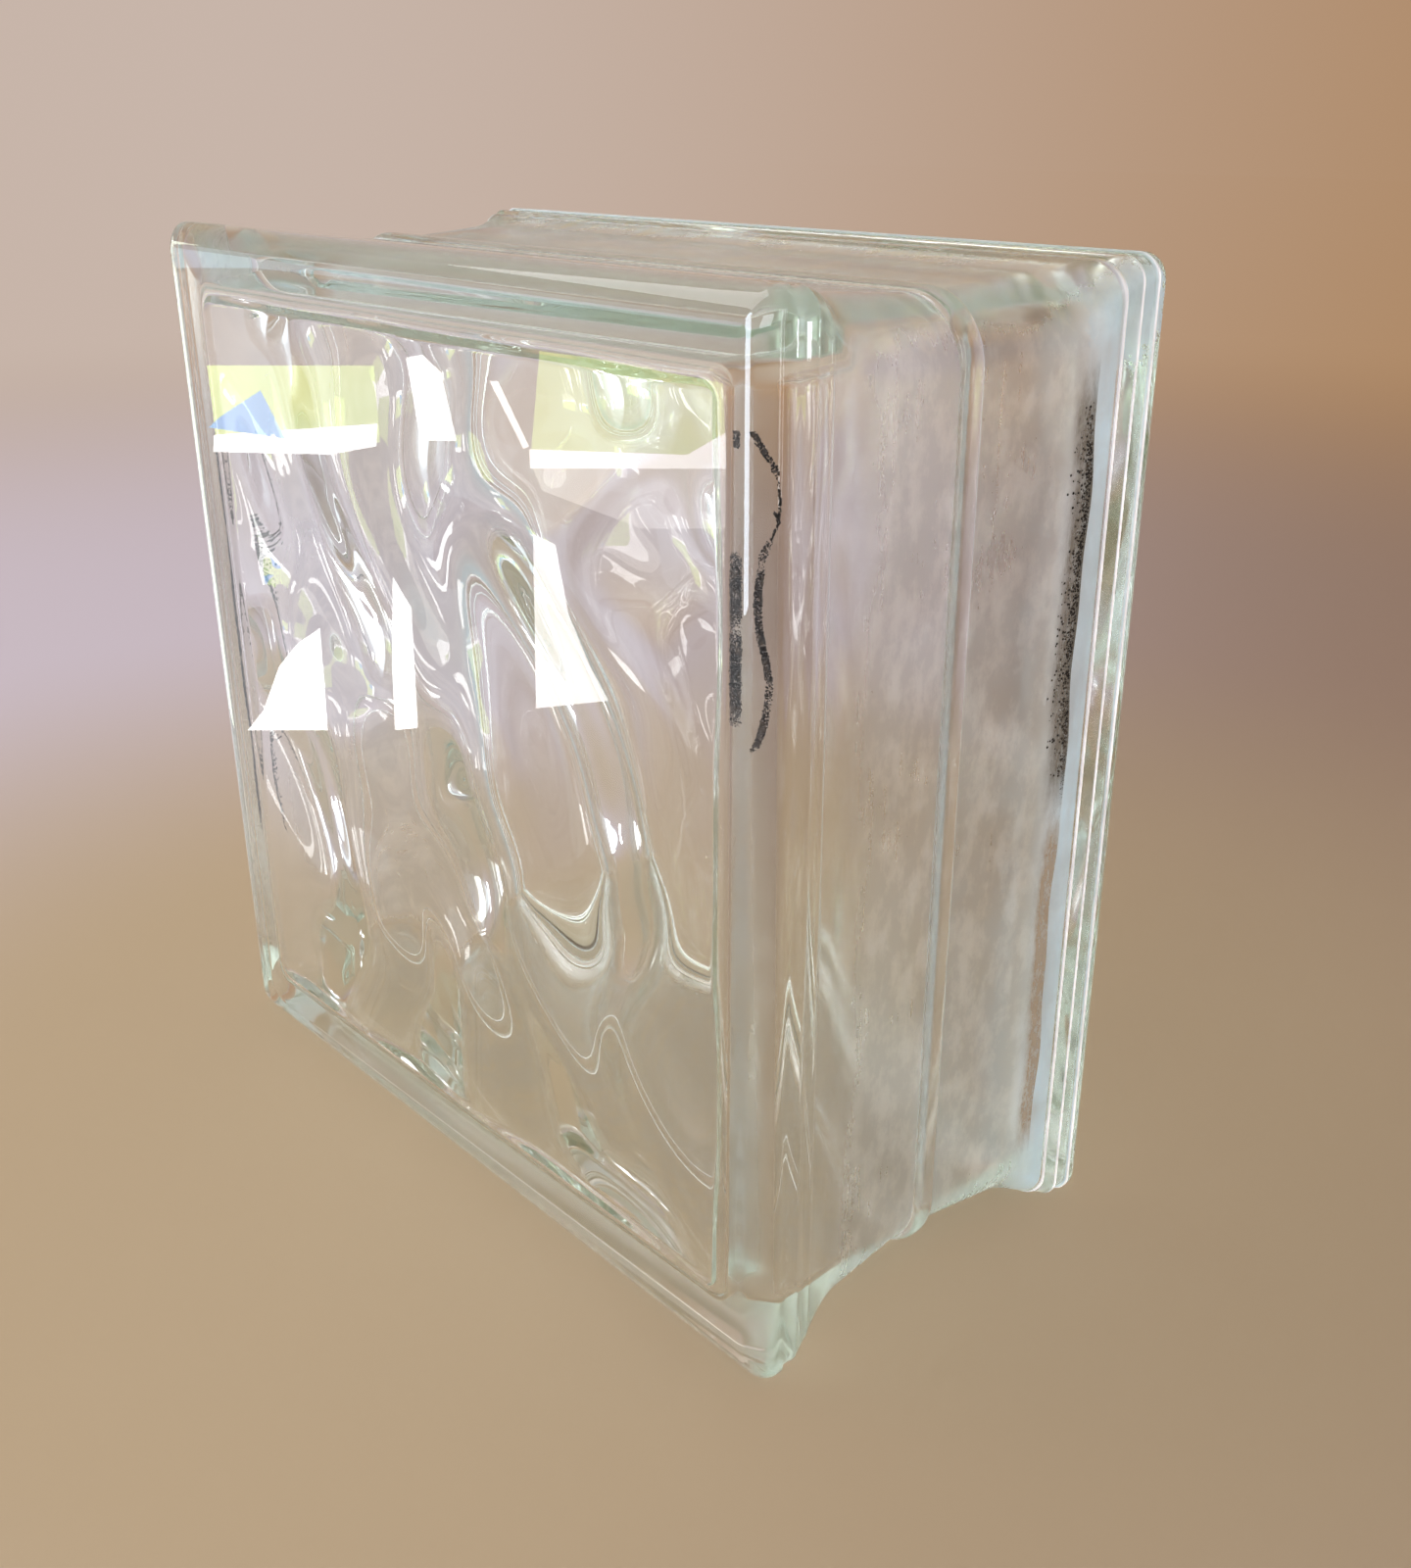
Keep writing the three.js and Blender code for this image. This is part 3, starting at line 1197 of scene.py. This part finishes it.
@dataclass(frozen=True)
class StreakyCover:
    """The cover of a thin film, drawn out in streaks and thin towards its strip's edges.

    Attributes:
        streaks: Pattern of the streaks.
        stretch: Scale of the streaks along the height.
        streak_range: Values of the pattern from the thinnest cover to the thickest.
        thinning: How much the pattern falls towards the strip's edges.
    """

    streaks: Noise = Noise(900.0, 5.0, 0.7)
    stretch: float = 0.35
    streak_range: Range = (0.1, 0.6)
    thinning: float = 0.35

    def build(self) -> bpy.types.NodeTree:
        """Builds the group that the films share.

        Returns:
            A shader group with the thinnest and thickest cover as inputs, which reads the
            strip's own middle attribute and puts out its cover.
        """
        inputs = dict.fromkeys(("Thinnest", "Thickest"), "Float")
        net = NodeTree.group(TreeKind.SHADER, "streaky_cover", inputs, {"Cover": "Float"})
        given = net.add("NodeGroupInput").outputs
        coords = net.add("ShaderNodeTexCoord").outputs["Object"]
        drawn = net.add("ShaderNodeMapping", Vector=coords, Scale=(1.0, 1.0, self.stretch)).outputs[0]
        middle = net.add("ShaderNodeAttribute", {"attribute_name": "middle"}).outputs["Fac"]
        streaks = net.math("SUBTRACT", net.noise(drawn, self.streaks), self.thinning)
        level = net.math("MULTIPLY_ADD", middle, self.thinning, streaks)
        cover = net.span(level, self.streak_range, (given["Thinnest"], given["Thickest"]))
        net.add("NodeGroupOutput", Cover=net.times(cover, middle))
        return net.tree


@dataclass(frozen=True)
class DriedFilm:
    """A thin patchy film that the compound left where it was scraped off.

    Attributes:
        name: Name of the material.
        colour: Its colour.
        cover: Its cover where it is thinnest and where it is thickest.
        roughness: Its roughness.
        gloss: Its specular level.
    """

    name: str
    colour: Triple
    cover: Range
    roughness: float = 0.9
    gloss: float = 0.2

    def build(self, streaky_cover: bpy.types.NodeTree) -> bpy.types.Material:
        """Makes the material.

        Args:
            streaky_cover: The group that gives the cover.

        Returns:
            The film.
        """
        material = bpy.data.materials.new(self.name)
        net = NodeTree.of(material)
        thinnest, thickest = self.cover
        group = {"node_tree": streaky_cover}
        cover = net.add("ShaderNodeGroup", group, Thinnest=thinnest, Thickest=thickest)
        paint = net.add(
            "ShaderNodeBsdfPrincipled",
            Base_Color=self.colour,
            Roughness=self.roughness,
            Specular_IOR_Level=self.gloss,
            Alpha=cover.outputs["Cover"],
        )
        net.add("ShaderNodeOutputMaterial", Surface=paint.outputs[0])
        return material


FILMS = (
    (
        cove("dried_film", Side.RIGHT, Half.REAR, 93, 182, 17.5, 3.4, 3.0),
        DriedFilm("dried_film", (0.19, 0.165, 0.13), (0.15, 0.8)),
    ),
    (
        cove("brown_stain", Side.RIGHT, Half.REAR, 14, 98, 17.7, 2.8, 2.2),
        DriedFilm("brown_stain", (0.46, 0.33, 0.21), (0.05, 0.65)),
    ),
)


class SpeckTree:
    """Geometry Nodes that scatter flat specks over a strip.

    PATCHES are the noise's values in a gap and in a thick patch, and BARE is the cover of a gap.
    LUMPS is the scale of a speck's lumps, which grow from LUMP_LEAST by up to LUMP_SIZE.
    """

    SIZES = ("Density", "Smallest", "Largest", "Flatness", "Patch Size")
    PATCHES = (0.3, 0.5)
    BARE = 0.12
    LUMPS = 1.7
    LUMP_SIZE = 1.4
    LUMP_LEAST = 0.3

    def _speck(self, net: NodeTree, flatness: Socket) -> Socket:
        """One lumpy, flattened speck of radius 1.

        Args:
            net: The tree's nodes.
            flatness: Its height as a share of its width.

        Returns:
            The speck.
        """
        ball = net.add("GeometryNodeMeshIcoSphere", Radius=1.0, Subdivisions=1)
        bumps = net.add("ShaderNodeTexNoise", {"noise_dimensions": "3D"}, Scale=self.LUMPS)
        rough = net.math("MULTIPLY_ADD", bumps.outputs[0], self.LUMP_SIZE, self.LUMP_LEAST)
        place = net.add("GeometryNodeInputPosition").outputs[0]
        shaped = net.add("ShaderNodeVectorMath", {"operation": "SCALE"}, i0=place, Scale=rough)
        lumpy = net.add("GeometryNodeSetPosition", Geometry=ball.outputs[0], Position=shaped.outputs[0])
        flat = net.add("ShaderNodeCombineXYZ", X=1.0, Y=1.0, Z=flatness)
        pressed = net.add("GeometryNodeTransform", Geometry=lumpy.outputs[0], Scale=flat.outputs[0])
        return pressed.outputs[0]

    def build(self) -> bpy.types.NodeTree:
        """Builds the tree.

        Returns:
            The tree, with the specks' number, size, flatness and seed as named inputs.
        """
        inputs = {"Geometry": "Geometry"} | dict.fromkeys(self.SIZES, "Float")
        inputs |= {"Seed": "Int", "Finish": "Material"}
        net = NodeTree.group(TreeKind.GEOMETRY, "scatter_specks", inputs, {"Geometry": "Geometry"})
        given = net.add("NodeGroupInput").outputs
        place = net.add("GeometryNodeInputPosition").outputs[0]
        scale = net.math("DIVIDE", 1.0, given["Patch Size"])
        patch = net.add("ShaderNodeTexNoise", Vector=place, Scale=scale, Detail=2.0).outputs[0]
        thick = net.span(patch, self.PATCHES, (self.BARE, 1.0))
        number = {"data_type": "FLOAT"}
        middle = net.add("GeometryNodeInputNamedAttribute", number, Name="middle").outputs[0]
        points = net.add(
            "GeometryNodeDistributePointsOnFaces",
            {"distribute_method": "RANDOM"},
            Mesh=given["Geometry"],
            Density=net.times(thick, middle, given["Density"]),
            Seed=given["Seed"],
        ).outputs
        ends = {"i2": given["Smallest"], "i3": given["Largest"]}
        size = net.add("FunctionNodeRandomValue", number, **ends, Seed=given["Seed"])
        scattered = net.add(
            "GeometryNodeInstanceOnPoints",
            Points=points["Points"],
            Instance=self._speck(net, given["Flatness"]),
            Rotation=points["Rotation"],
            Scale=size.outputs[1],
        )
        net.finish(scattered.outputs[0], given["Finish"])
        return net.tree


@dataclass
class OldCompound:
    """Specks of old bedding compound in the coves at the flanges' feet.

    Attributes:
        block: The block they stick to.
        lines: The lines of crumbs.
        smears: The smears on the edge.
        films: The strips with a film, and its finish.
        density: Specks per square metre where they lie thickest.
        crowding: How fast their number grows as the grain gets finer.
        smallest: Radius of the smallest.
        largest: Radius of the largest.
        flatness: Height of a speck as a share of its width.
        patch_size: Size of the gaps and thicker patches along a line.
        sink: How deep the crumbs are set into the glass.
        film_clearance: How far a film lies clear of the glass.
        fall: How sharply the thin part of a strip thins out.
        wander: Rise and length of the ripples in a strip's edge.
        strip_end: How many thinned ends make a strip's length.
        smear_end: How many thinned ends make a smear's length.
        smear_rim: How many thinned rims make half a smear's width.
        smear_grain: Size of a smear's crumbs as a share of a line's.
        rows: Steps of a strip across its width.
        columns: Steps of a strip along the height.
        finish: The compound.
    """

    block: FusedBlock
    lines: tuple[CrumbLine, ...] = CRUMB_LINES
    smears: tuple[EdgeSmear, ...] = EDGE_SMEARS
    films: tuple[tuple[CoveStrip, DriedFilm], ...] = FILMS
    density: float = 1.5e7
    crowding: float = 2.2
    smallest: float = 0.08 * MM
    largest: float = 0.36 * MM
    flatness: float = 0.5
    patch_size: float = 5 * MM
    sink: float = 0.05 * MM
    film_clearance: float = 0.03 * MM
    fall: float = 1.5
    wander: tuple[tuple[float, float], ...] = ((0.35 * MM, 9 * MM), (0.2 * MM, 3.7 * MM))
    strip_end: float = 8.0
    smear_end: float = 25.0
    smear_rim: float = 3.0
    smear_grain: float = 0.5
    rows: int = 12
    columns: int = 90
    finish: Tar = field(default_factory=Tar)

    def _surface(
        self,
        on: CoveStrip | EdgeSmear,
        ends: Range,
        end_count: float,
        section: Callable[[float, float], Triple],
    ) -> bpy.types.Mesh:
        """Makes a strip of the glass's surface that faces out of the glass.

        Args:
            on: The strip or smear, which says on which side and half it lies.
            ends: Heights of its lower and upper end.
            end_count: How many thinned ends make its length.
            section: Gives the inset, the depth and the cover at a share of the way across it and
                a height.

        Returns:
            A mesh whose middle attribute is the cover.
        """
        side, half = on.side.value, on.half.value
        vertices, middle, faces = [], [], []
        step = self.columns + 1
        for row in range(self.rows + 1):
            for column in range(step):
                height = mix(*ends, column / self.columns)
                inset, depth, cover = section(row / self.rows, height)
                x = side * (self.block.face_size / 2 - inset)
                vertices.append((x, (depth - self.block.rim) * half, height))
                end = min(column, self.columns - column) / self.columns * end_count
                middle.append(cover * min(end, 1.0))
        for row in range(self.rows):
            for column in range(self.columns):
                corner = row * step + column
                quad = (corner, corner + 1, corner + step + 1, corner + step)
                faces.append(quad if side * half > 0 else quad[::-1])
        mesh = bpy.data.meshes.new("strip")
        mesh.from_pydata(vertices, [], faces)
        mesh.attributes.new("middle", "FLOAT", "POINT").data.foreach_set("value", middle)
        return mesh

    def _cove(self, strip: CoveStrip, sink: float) -> bpy.types.Mesh:
        """Makes the surface of a strip in the cove.

        Args:
            strip: The strip.
            sink: How deep it lies in the glass.

        Returns:
            A mesh whose cover falls from 1 along its thick part to 0 at its edges.
        """

        def section(share: float, height: float) -> Triple:
            """The strip at a point.

            Args:
                share: How far across the strip it lies.
                height: Its height.

            Returns:
                Its inset, depth and cover.
            """
            reach = (strip.band + strip.spread) * share
            wander = sum(rise * math.sin(height / length) for rise, length in self.wander)
            depth = strip.edge + reach + wander
            cover = 1.0
            if reach >= strip.band:
                cover = strip.thin * (1 - clamp((reach - strip.band) / strip.spread)) ** self.fall
            return self.block.foot_inset(depth) + sink, depth, cover

        return self._surface(strip, (strip.low, strip.high), self.strip_end, section)

    def _smear(self, smear: EdgeSmear) -> bpy.types.Mesh:
        """Makes the surface of a smear.

        Args:
            smear: The smear.

        Returns:
            A mesh whose cover thins out towards the smear's rim.
        """

        def section(share: float, height: float) -> Triple:
            """The smear at a point.

            Args:
                share: How far across the smear it lies.
                height: Its height.

            Returns:
                Its inset, depth and cover.
            """
            inset, depth = self.block.edge_point(smear.reach(height) + (share - 0.5) * smear.width)
            rim = 1 - abs(2 * share - 1)
            return inset, depth + self.sink, min(rim * self.smear_rim, 1.0)

        return self._surface(smear, (smear.path[0][0], smear.path[-1][0]), self.smear_end, section)

    def _crumb_sizes(self, grain: float) -> dict[str, object]:
        """Sizes of a line of crumbs.

        Args:
            grain: Their size, as a share of the largest line's.

        Returns:
            Values by the names of the tree's inputs.
        """
        return {
            "Density": self.density / grain**self.crowding,
            "Smallest": self.smallest * grain,
            "Largest": self.largest * grain,
            "Flatness": self.flatness,
            "Patch Size": self.patch_size,
        }

    def build(self) -> list[bpy.types.Object]:
        """Builds one piece for each line, smear and film.

        Returns:
            The pieces.
        """
        finish, tree = self.finish.build(), SpeckTree().build()
        beds = []
        for line in self.lines:
            beds.append((line.strip.name, self._cove(line.strip, self.sink), line.grain, line.seed))
        for smear in self.smears:
            beds.append((f"smear_{smear.name}", self._smear(smear), self.smear_grain, smear.seed))
        meshes = {}
        for name, surface, grain, seed in beds:
            values = self._crumb_sizes(grain) | {"Seed": seed, "Finish": finish}
            meshes[f"old_compound_{name}"] = run_tree(surface, tree, values)
        streaky_cover = StreakyCover().build()
        for strip, film in self.films:
            meshes[strip.name] = self._cove(strip, -self.film_clearance)
            meshes[strip.name].materials.append(film.build(streaky_cover))
        pieces = []
        for name, mesh in meshes.items():
            mesh.name = name
            piece = link_object(name, mesh)
            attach(piece, "root")
            pieces.append(piece)
        return pieces


# ---------------------------------------------------------------------------------------
# studio
# ---------------------------------------------------------------------------------------


@dataclass
class StudioCamera:
    """A plain pinhole camera held in the hand, looking down at the block's front corner."""

    azimuth: float = 47.875
    elevation: float = 23.501
    roll: float = 0.111
    place: Triple = (0.26703, -0.21032, 0.21847)
    focal_pixels: float = 1652.5
    centre_pixels: tuple[float, float] = (741.1, 836.8)
    frame_pixels: tuple[int, int] = (1440, 1600)
    sensor: float = 36.0
    clip: Range = (0.01, 50.0)

    def build(self) -> bpy.types.Object:
        """Makes the camera and sets it as the scene's.

        Returns:
            The camera.
        """
        data = bpy.data.cameras.new("studio_camera")
        wide, high = self.frame_pixels
        data.sensor_width = self.sensor
        data.lens = self.focal_pixels / high * self.sensor
        data.shift_x = -(self.centre_pixels[0] - wide / 2) / high
        data.shift_y = (self.centre_pixels[1] - high / 2) / high
        data.clip_start, data.clip_end = self.clip
        camera = link_object("studio_camera", data)
        turn = Matrix.Rotation(math.radians(self.azimuth), 4, "Z")
        tip = Matrix.Rotation(math.radians(90 - self.elevation), 4, "X")
        roll = Matrix.Rotation(math.radians(self.roll), 4, "Z")
        camera.matrix_world = Matrix.Translation(self.place) @ turn @ tip @ roll
        bpy.context.scene.camera = camera
        return camera


@dataclass(frozen=True)
class Lamp:
    """A soft area lamp aimed at the block."""

    name: str
    place: Triple
    size: tuple[float, float]
    power: float
    colour: Triple
    aim: Triple = (0.0, 0.0, 0.1)

    def build(self) -> bpy.types.Object:
        """Makes the lamp.

        Returns:
            The lamp, hidden from the camera itself.
        """
        data = bpy.data.lights.new(self.name, "AREA")
        data.shape = "RECTANGLE"
        data.size, data.size_y = self.size
        data.energy = self.power
        data.color = self.colour
        lamp = link_object(self.name, data)
        lamp.location = self.place
        away = Vector(self.place) - Vector(self.aim)
        lamp.rotation_euler = away.to_track_quat("Z", "Y").to_euler()
        lamp.visible_camera = False
        return lamp


LAMPS = (
    Lamp("key", (-0.9, -0.7, 1.3), (0.9, 0.9), 7.0, (0.96, 0.98, 1.0)),
    Lamp("fill", (1.2, -0.9, 0.6), (0.8, 0.8), 3.0, (0.88, 0.94, 1.0)),
    Lamp("front", (0.3, -1.2, 0.35), (0.5, 0.5), 5.0, (0.85, 0.93, 1.0)),
)


def flat_piece(name: str, corners: list, material: bpy.types.Material) -> bpy.types.Object:
    """Makes a flat piece of the studio.

    Args:
        name: Name of the piece.
        corners: Its corners, in order.
        material: Its material.

    Returns:
        The piece, which is no part of the block.
    """
    mesh = bpy.data.meshes.new(name)
    mesh.from_pydata(corners, [], [tuple(range(len(corners)))])
    mesh.materials.append(material)
    piece = link_object(name, mesh)
    return piece


@dataclass(frozen=True)
class WindowCard:
    """A bright upright card, like a window, that only gloss and clear glass show.

    Attributes:
        name: Name of the card.
        outline: Its corners: how far along the row of cards, and how high.
        colour: Colour of its light.
        strength: Strength of its light.
        back: How far it stands behind the row.
        gloss_only: Whether only reflections show it, and not light through the glass.
    """

    name: str
    outline: tuple[tuple[float, float], ...]
    colour: Triple = WHITE
    strength: float = 9.0
    back: float = 0.0
    gloss_only: bool = False

    def build(self, foot: Vector, along: Vector) -> bpy.types.Object:
        """Makes the card.

        Args:
            foot: Where the row of cards starts on the floor.
            along: Direction of the row.

        Returns:
            The card, which lights nothing and hides from the camera.
        """
        away = Vector((along.y, -along.x, 0)) * self.back
        corners = [foot + away + along * reach + Vector((0, 0, height)) for reach, height in self.outline]
        material = bpy.data.materials.new(self.name)
        net = NodeTree.of(material)
        glow = net.add("ShaderNodeEmission", Color=self.colour, Strength=self.strength)
        net.add("ShaderNodeOutputMaterial", Surface=glow.outputs[0])
        piece = flat_piece(self.name, corners, material)
        piece.visible_camera = False
        piece.visible_diffuse = False
        piece.visible_shadow = False
        piece.visible_transmission = not self.gloss_only
        return piece


def card(name: str, *outline: tuple[float, float], **light: object) -> WindowCard:
    """A card with its corners given in millimetres.

    Args:
        name: Name of the card.
        *outline: Its corners, or only the lower left and upper right one of a pane.
        **light: Its other fields.

    Returns:
        The card.
    """
    corners = [(reach * MM, height * MM) for reach, height in outline]
    if len(corners) == 2:
        (left, low), (right, high) = corners
        corners = [(left, low), (right, low), (right, high), (left, high)]
    return WindowCard(name, tuple(corners), **light)


GREEN = {"colour": (0.80, 1.0, 0.45), "strength": 5.0, "back": 0.002}
POND = {"colour": (0.2, 0.55, 1.0), "strength": 5.0, "back": -0.002}
ROOM = {"colour": (0.90, 0.93, 1.0), "strength": 1.4, "back": 0.05}
COOL_JAMB = {"colour": (0.76, 0.87, 1.0), "strength": 14.0, "gloss_only": True}
TRANSOM = {"colour": (0.72, 0.84, 1.0), "strength": 3.0, "gloss_only": True}
GREEN_JAMB = {"colour": (0.92, 1.0, 0.88), "strength": 5.0, "gloss_only": True}
SPARK = {"colour": (0.95, 1.0, 1.0), "strength": 24.0, "gloss_only": True}

FACE_CARDS = (
    card("window_1", (-24, 0), (7, 0), (8, 41), (-1, 35), (-9, 26), (-17, 8)),
    card("window_2", (33, 0), (42, 1), (43, 49), (37, 61), (34, 27)),
    card("window_3", (88, 9), (116, 12), (109, 27), (102, 46), (98, 73), (90, 77)),
    card("window_4", (-24, 107), (18, 106), (35, 109), (36, 117), (-23, 113)),
    card("window_5", (51, 111), (64, 111), (60, 135), (54, 141), (48, 140)),
    card("window_6", (77, 132), (80, 132), (90, 109), (88, 108)),
    card("window_7", (90, 101), (161, 101), (161, 114), (147, 106), (90, 108)),
    card("sill", (94, 93), (130, 79), (161, 79), (161, 101), (91, 101), strength=3.5),
    card("pond", (-24, 116), (3, 112), (-4, 129), (-19, 120), **POND),
    card("garden_1", (-23, 110), (36, 137), **GREEN),
    card("garden_2", (90, 104), (161, 104), (160, 131), (119, 139), (95, 142), **GREEN),
    card("room", (-100, 0), (240, 240), **ROOM),
    card("jamb_right", (200, 45), (270, 350), **COOL_JAMB),
    card("transom", (-100, 170), (180, 200), **TRANSOM),
    card("jamb_left", (-115, 0), (-35, 250), **GREEN_JAMB),
)
SIDE_CARDS = (
    card("door_1", (-20, 30), (30, 550), strength=6.0),
    card("door_2", (100, 30), (130, 550), strength=6.0),
)
CORNER_CARDS = (card("corner_spark", (-24, 127.5), (24, 161.5), **SPARK),)


@dataclass(frozen=True)
class CardRow:
    """Cards that stand in a row.

    Attributes:
        foot: Where the row starts on the floor.
        along: Direction of the row.
        cards: The cards.
    """

    foot: Triple
    along: Triple
    cards: tuple[WindowCard, ...]


CARD_ROWS = (
    CardRow((-0.278, -0.163, 0.0), (0.666, -0.746, 0.0), FACE_CARDS),
    CardRow((0.55, -0.45, 0.0), (0.746, 0.666, 0.0), SIDE_CARDS),
    CardRow((0.503, 0.249, 0.0), (0.580703, -0.814116, 0.0), CORNER_CARDS),
)


@dataclass
class Studio:
    """Pale floor that runs off into the distance, soft lamps and window cards.

    Each pair of colours is for the cool side of the room, by the window, and the warm far side.

    Attributes:
        floor_size: Length of the floor's sides.
        cool_way: Direction of the cool side.
        warm_range: How far a place lies that way, from the cool side to the warm one.
        near: Distance under which the warmth changes slowly.
        floor_colours: Colours of the floor by the block.
        wall_colours: Colours of the floor further off.
        sky_colours: Colours of the far floor and of the sky above it.
        ceiling_colour: Colour of the sky overhead.
        wall_reach: Distances over which the floor takes its further colours.
        sky_reach: Distances over which it takes the sky's.
        haze_reach: Distances over which it is seen as bright as the sky.
        ceiling_range: Z of a direction from the sky's colour to the ceiling's.
        glow_colour: Colour of the sunlit floor that the glass reflects.
        glow_strength: Its strength.
        glow_reach: Distances over which it sets in.
        side_light: Colour of the sky's light from the side.
        top_light: Colour of its light from above.
        roughness: Roughness of the floor.
    """

    floor_size: float = 12.0
    cool_way: Triple = (-0.671, -0.742, 0.0)
    warm_range: Range = (0.30, -0.55)
    near: float = 0.2
    floor_colours: tuple[Triple, Triple] = ((0.525, 0.412, 0.285), (0.41, 0.315, 0.22))
    wall_colours: tuple[Triple, Triple] = ((0.63, 0.57, 0.67), (0.35, 0.25, 0.20))
    sky_colours: tuple[Triple, Triple] = ((0.575, 0.463, 0.40), (0.42, 0.245, 0.125))
    ceiling_colour: Triple = (0.62, 0.52, 0.42)
    wall_reach: Range = (0.15, 0.45)
    sky_reach: Range = (0.55, 1.7)
    haze_reach: Range = (0.5, 1.6)
    ceiling_range: Range = (0.1, 0.8)
    glow_colour: Triple = (0.93, 0.93, 1.0)
    glow_strength: float = 1.4
    glow_reach: Range = (0.1, 0.3)
    side_light: Triple = (0.80, 0.84, 0.90)
    top_light: Triple = (0.62, 0.52, 0.41)
    roughness: float = 0.7

    def _warmth(self, net: NodeTree, way: Socket, steady: float) -> Socket:
        """How far towards the room's warm side a place lies.

        Args:
            net: The material's nodes.
            way: The place, or the direction of the sky.
            steady: Distance under which the warmth changes slowly.

        Returns:
            0 on the cool side to 1 on the warm side.
        """
        cool = net.measure("DOT_PRODUCT", way, self.cool_way)
        share = net.math("DIVIDE", cool, net.math("ADD", net.measure("LENGTH", way), steady))
        return net.span(share, self.warm_range, smooth=True)

    def floor_material(self) -> bpy.types.Material:
        """Makes the floor's plain matt finish.

        Returns:
            The material.
        """
        material = bpy.data.materials.new("pale_floor")
        net = NodeTree.of(material)
        coords = net.add("ShaderNodeTexCoord").outputs["Object"]
        path = net.add("ShaderNodeLightPath").outputs
        warm = self._warmth(net, coords, self.near)
        distance = net.measure("LENGTH", coords)

        colour = net.tint(warm, *self.floor_colours)
        for pair, reach in ((self.wall_colours, self.wall_reach), (self.sky_colours, self.sky_reach)):
            colour = net.tint(net.span(distance, reach, smooth=True), colour, net.tint(warm, *pair))
        paint = net.add(
            "ShaderNodeBsdfPrincipled", Base_Color=colour, Roughness=self.roughness, Specular_IOR_Level=0.0
        )

        sunlit = net.add("ShaderNodeEmission", Color=self.glow_colour, Strength=self.glow_strength)
        bounced = net.times(path["Is Glossy Ray"], path["Is Reflection Ray"])
        glowing = net.times(bounced, net.span(distance, self.glow_reach), net.math("SUBTRACT", 1.0, warm))
        ground = net.switch(glowing, paint, sunlit)

        hazy = net.add("ShaderNodeEmission", Color=net.tint(warm, *self.sky_colours), Strength=1.0)
        looked = net.math("MAXIMUM", path["Is Glossy Ray"], path["Is Transmission Ray"])
        looked = net.math("MAXIMUM", path["Is Camera Ray"], looked)
        far = net.times(net.span(distance, self.haze_reach, smooth=True), looked)
        net.add("ShaderNodeOutputMaterial", Surface=net.switch(far, ground, hazy).outputs[0])
        return material

    def build_sky(self) -> None:
        """Makes the sky: even light for the room, and a wall-toned one seen and refracted."""
        world = bpy.data.worlds.new("studio")
        bpy.context.scene.world = world
        net = NodeTree.of(world)
        way = net.add("ShaderNodeTexCoord").outputs["Generated"]
        up = net.add("ShaderNodeSeparateXYZ", i0=way).outputs["Z"]
        overhead = net.span(up, self.ceiling_range)
        sky = net.tint(self._warmth(net, way, 0.0), *self.sky_colours)
        seen = net.add(
            "ShaderNodeBackground", Color=net.tint(overhead, sky, self.ceiling_colour), Strength=1.0
        )
        glow = net.tint(overhead, self.side_light, self.top_light)
        light = net.add("ShaderNodeBackground", Color=glow, Strength=1.0)
        diffuse = net.add("ShaderNodeLightPath").outputs["Is Diffuse Ray"]
        net.add("ShaderNodeOutputWorld", Surface=net.switch(diffuse, seen, light).outputs[0])

    def build(self) -> None:
        """Makes the floor, the sky, the lamps and the cards."""
        half = self.floor_size / 2
        corners = [(-half, -half, 0), (half, -half, 0), (half, half, 0), (-half, half, 0)]
        flat_piece("floor", corners, self.floor_material())
        self.build_sky()
        for lamp in LAMPS:
            lamp.build()
        for row in CARD_ROWS:
            for one in row.cards:
                one.build(Vector(row.foot), Vector(row.along))


# ---------------------------------------------------------------------------------------
# main
# ---------------------------------------------------------------------------------------


def set_view(bounces: int = 96, clear_bounces: int = 32) -> None:
    """Sets the view transform and lets light pass through many layers of glass.

    Args:
        bounces: Most times that light bends or reflects on its way.
        clear_bounces: Most clear surfaces that a shadow passes through.
    """
    scene = bpy.context.scene
    scene.view_settings.view_transform = "Standard"
    scene.cycles.max_bounces = bounces
    scene.cycles.transmission_bounces = bounces
    scene.cycles.glossy_bounces = bounces
    scene.cycles.transparent_max_bounces = clear_bounces


def main() -> None:
    """Builds the studio and the block, and reports each piece."""
    logging.basicConfig(level=logging.INFO, format="%(name)s: %(message)s")
    set_view()
    StudioCamera().build()
    body = FusedBlock()
    block = body.build()
    for piece in (block, *OldCompound(body).build()):
        log.info("%s: %d faces", piece.name, len(piece.data.polygons))
    Studio().build()


if __name__ == "__main__":
    main()
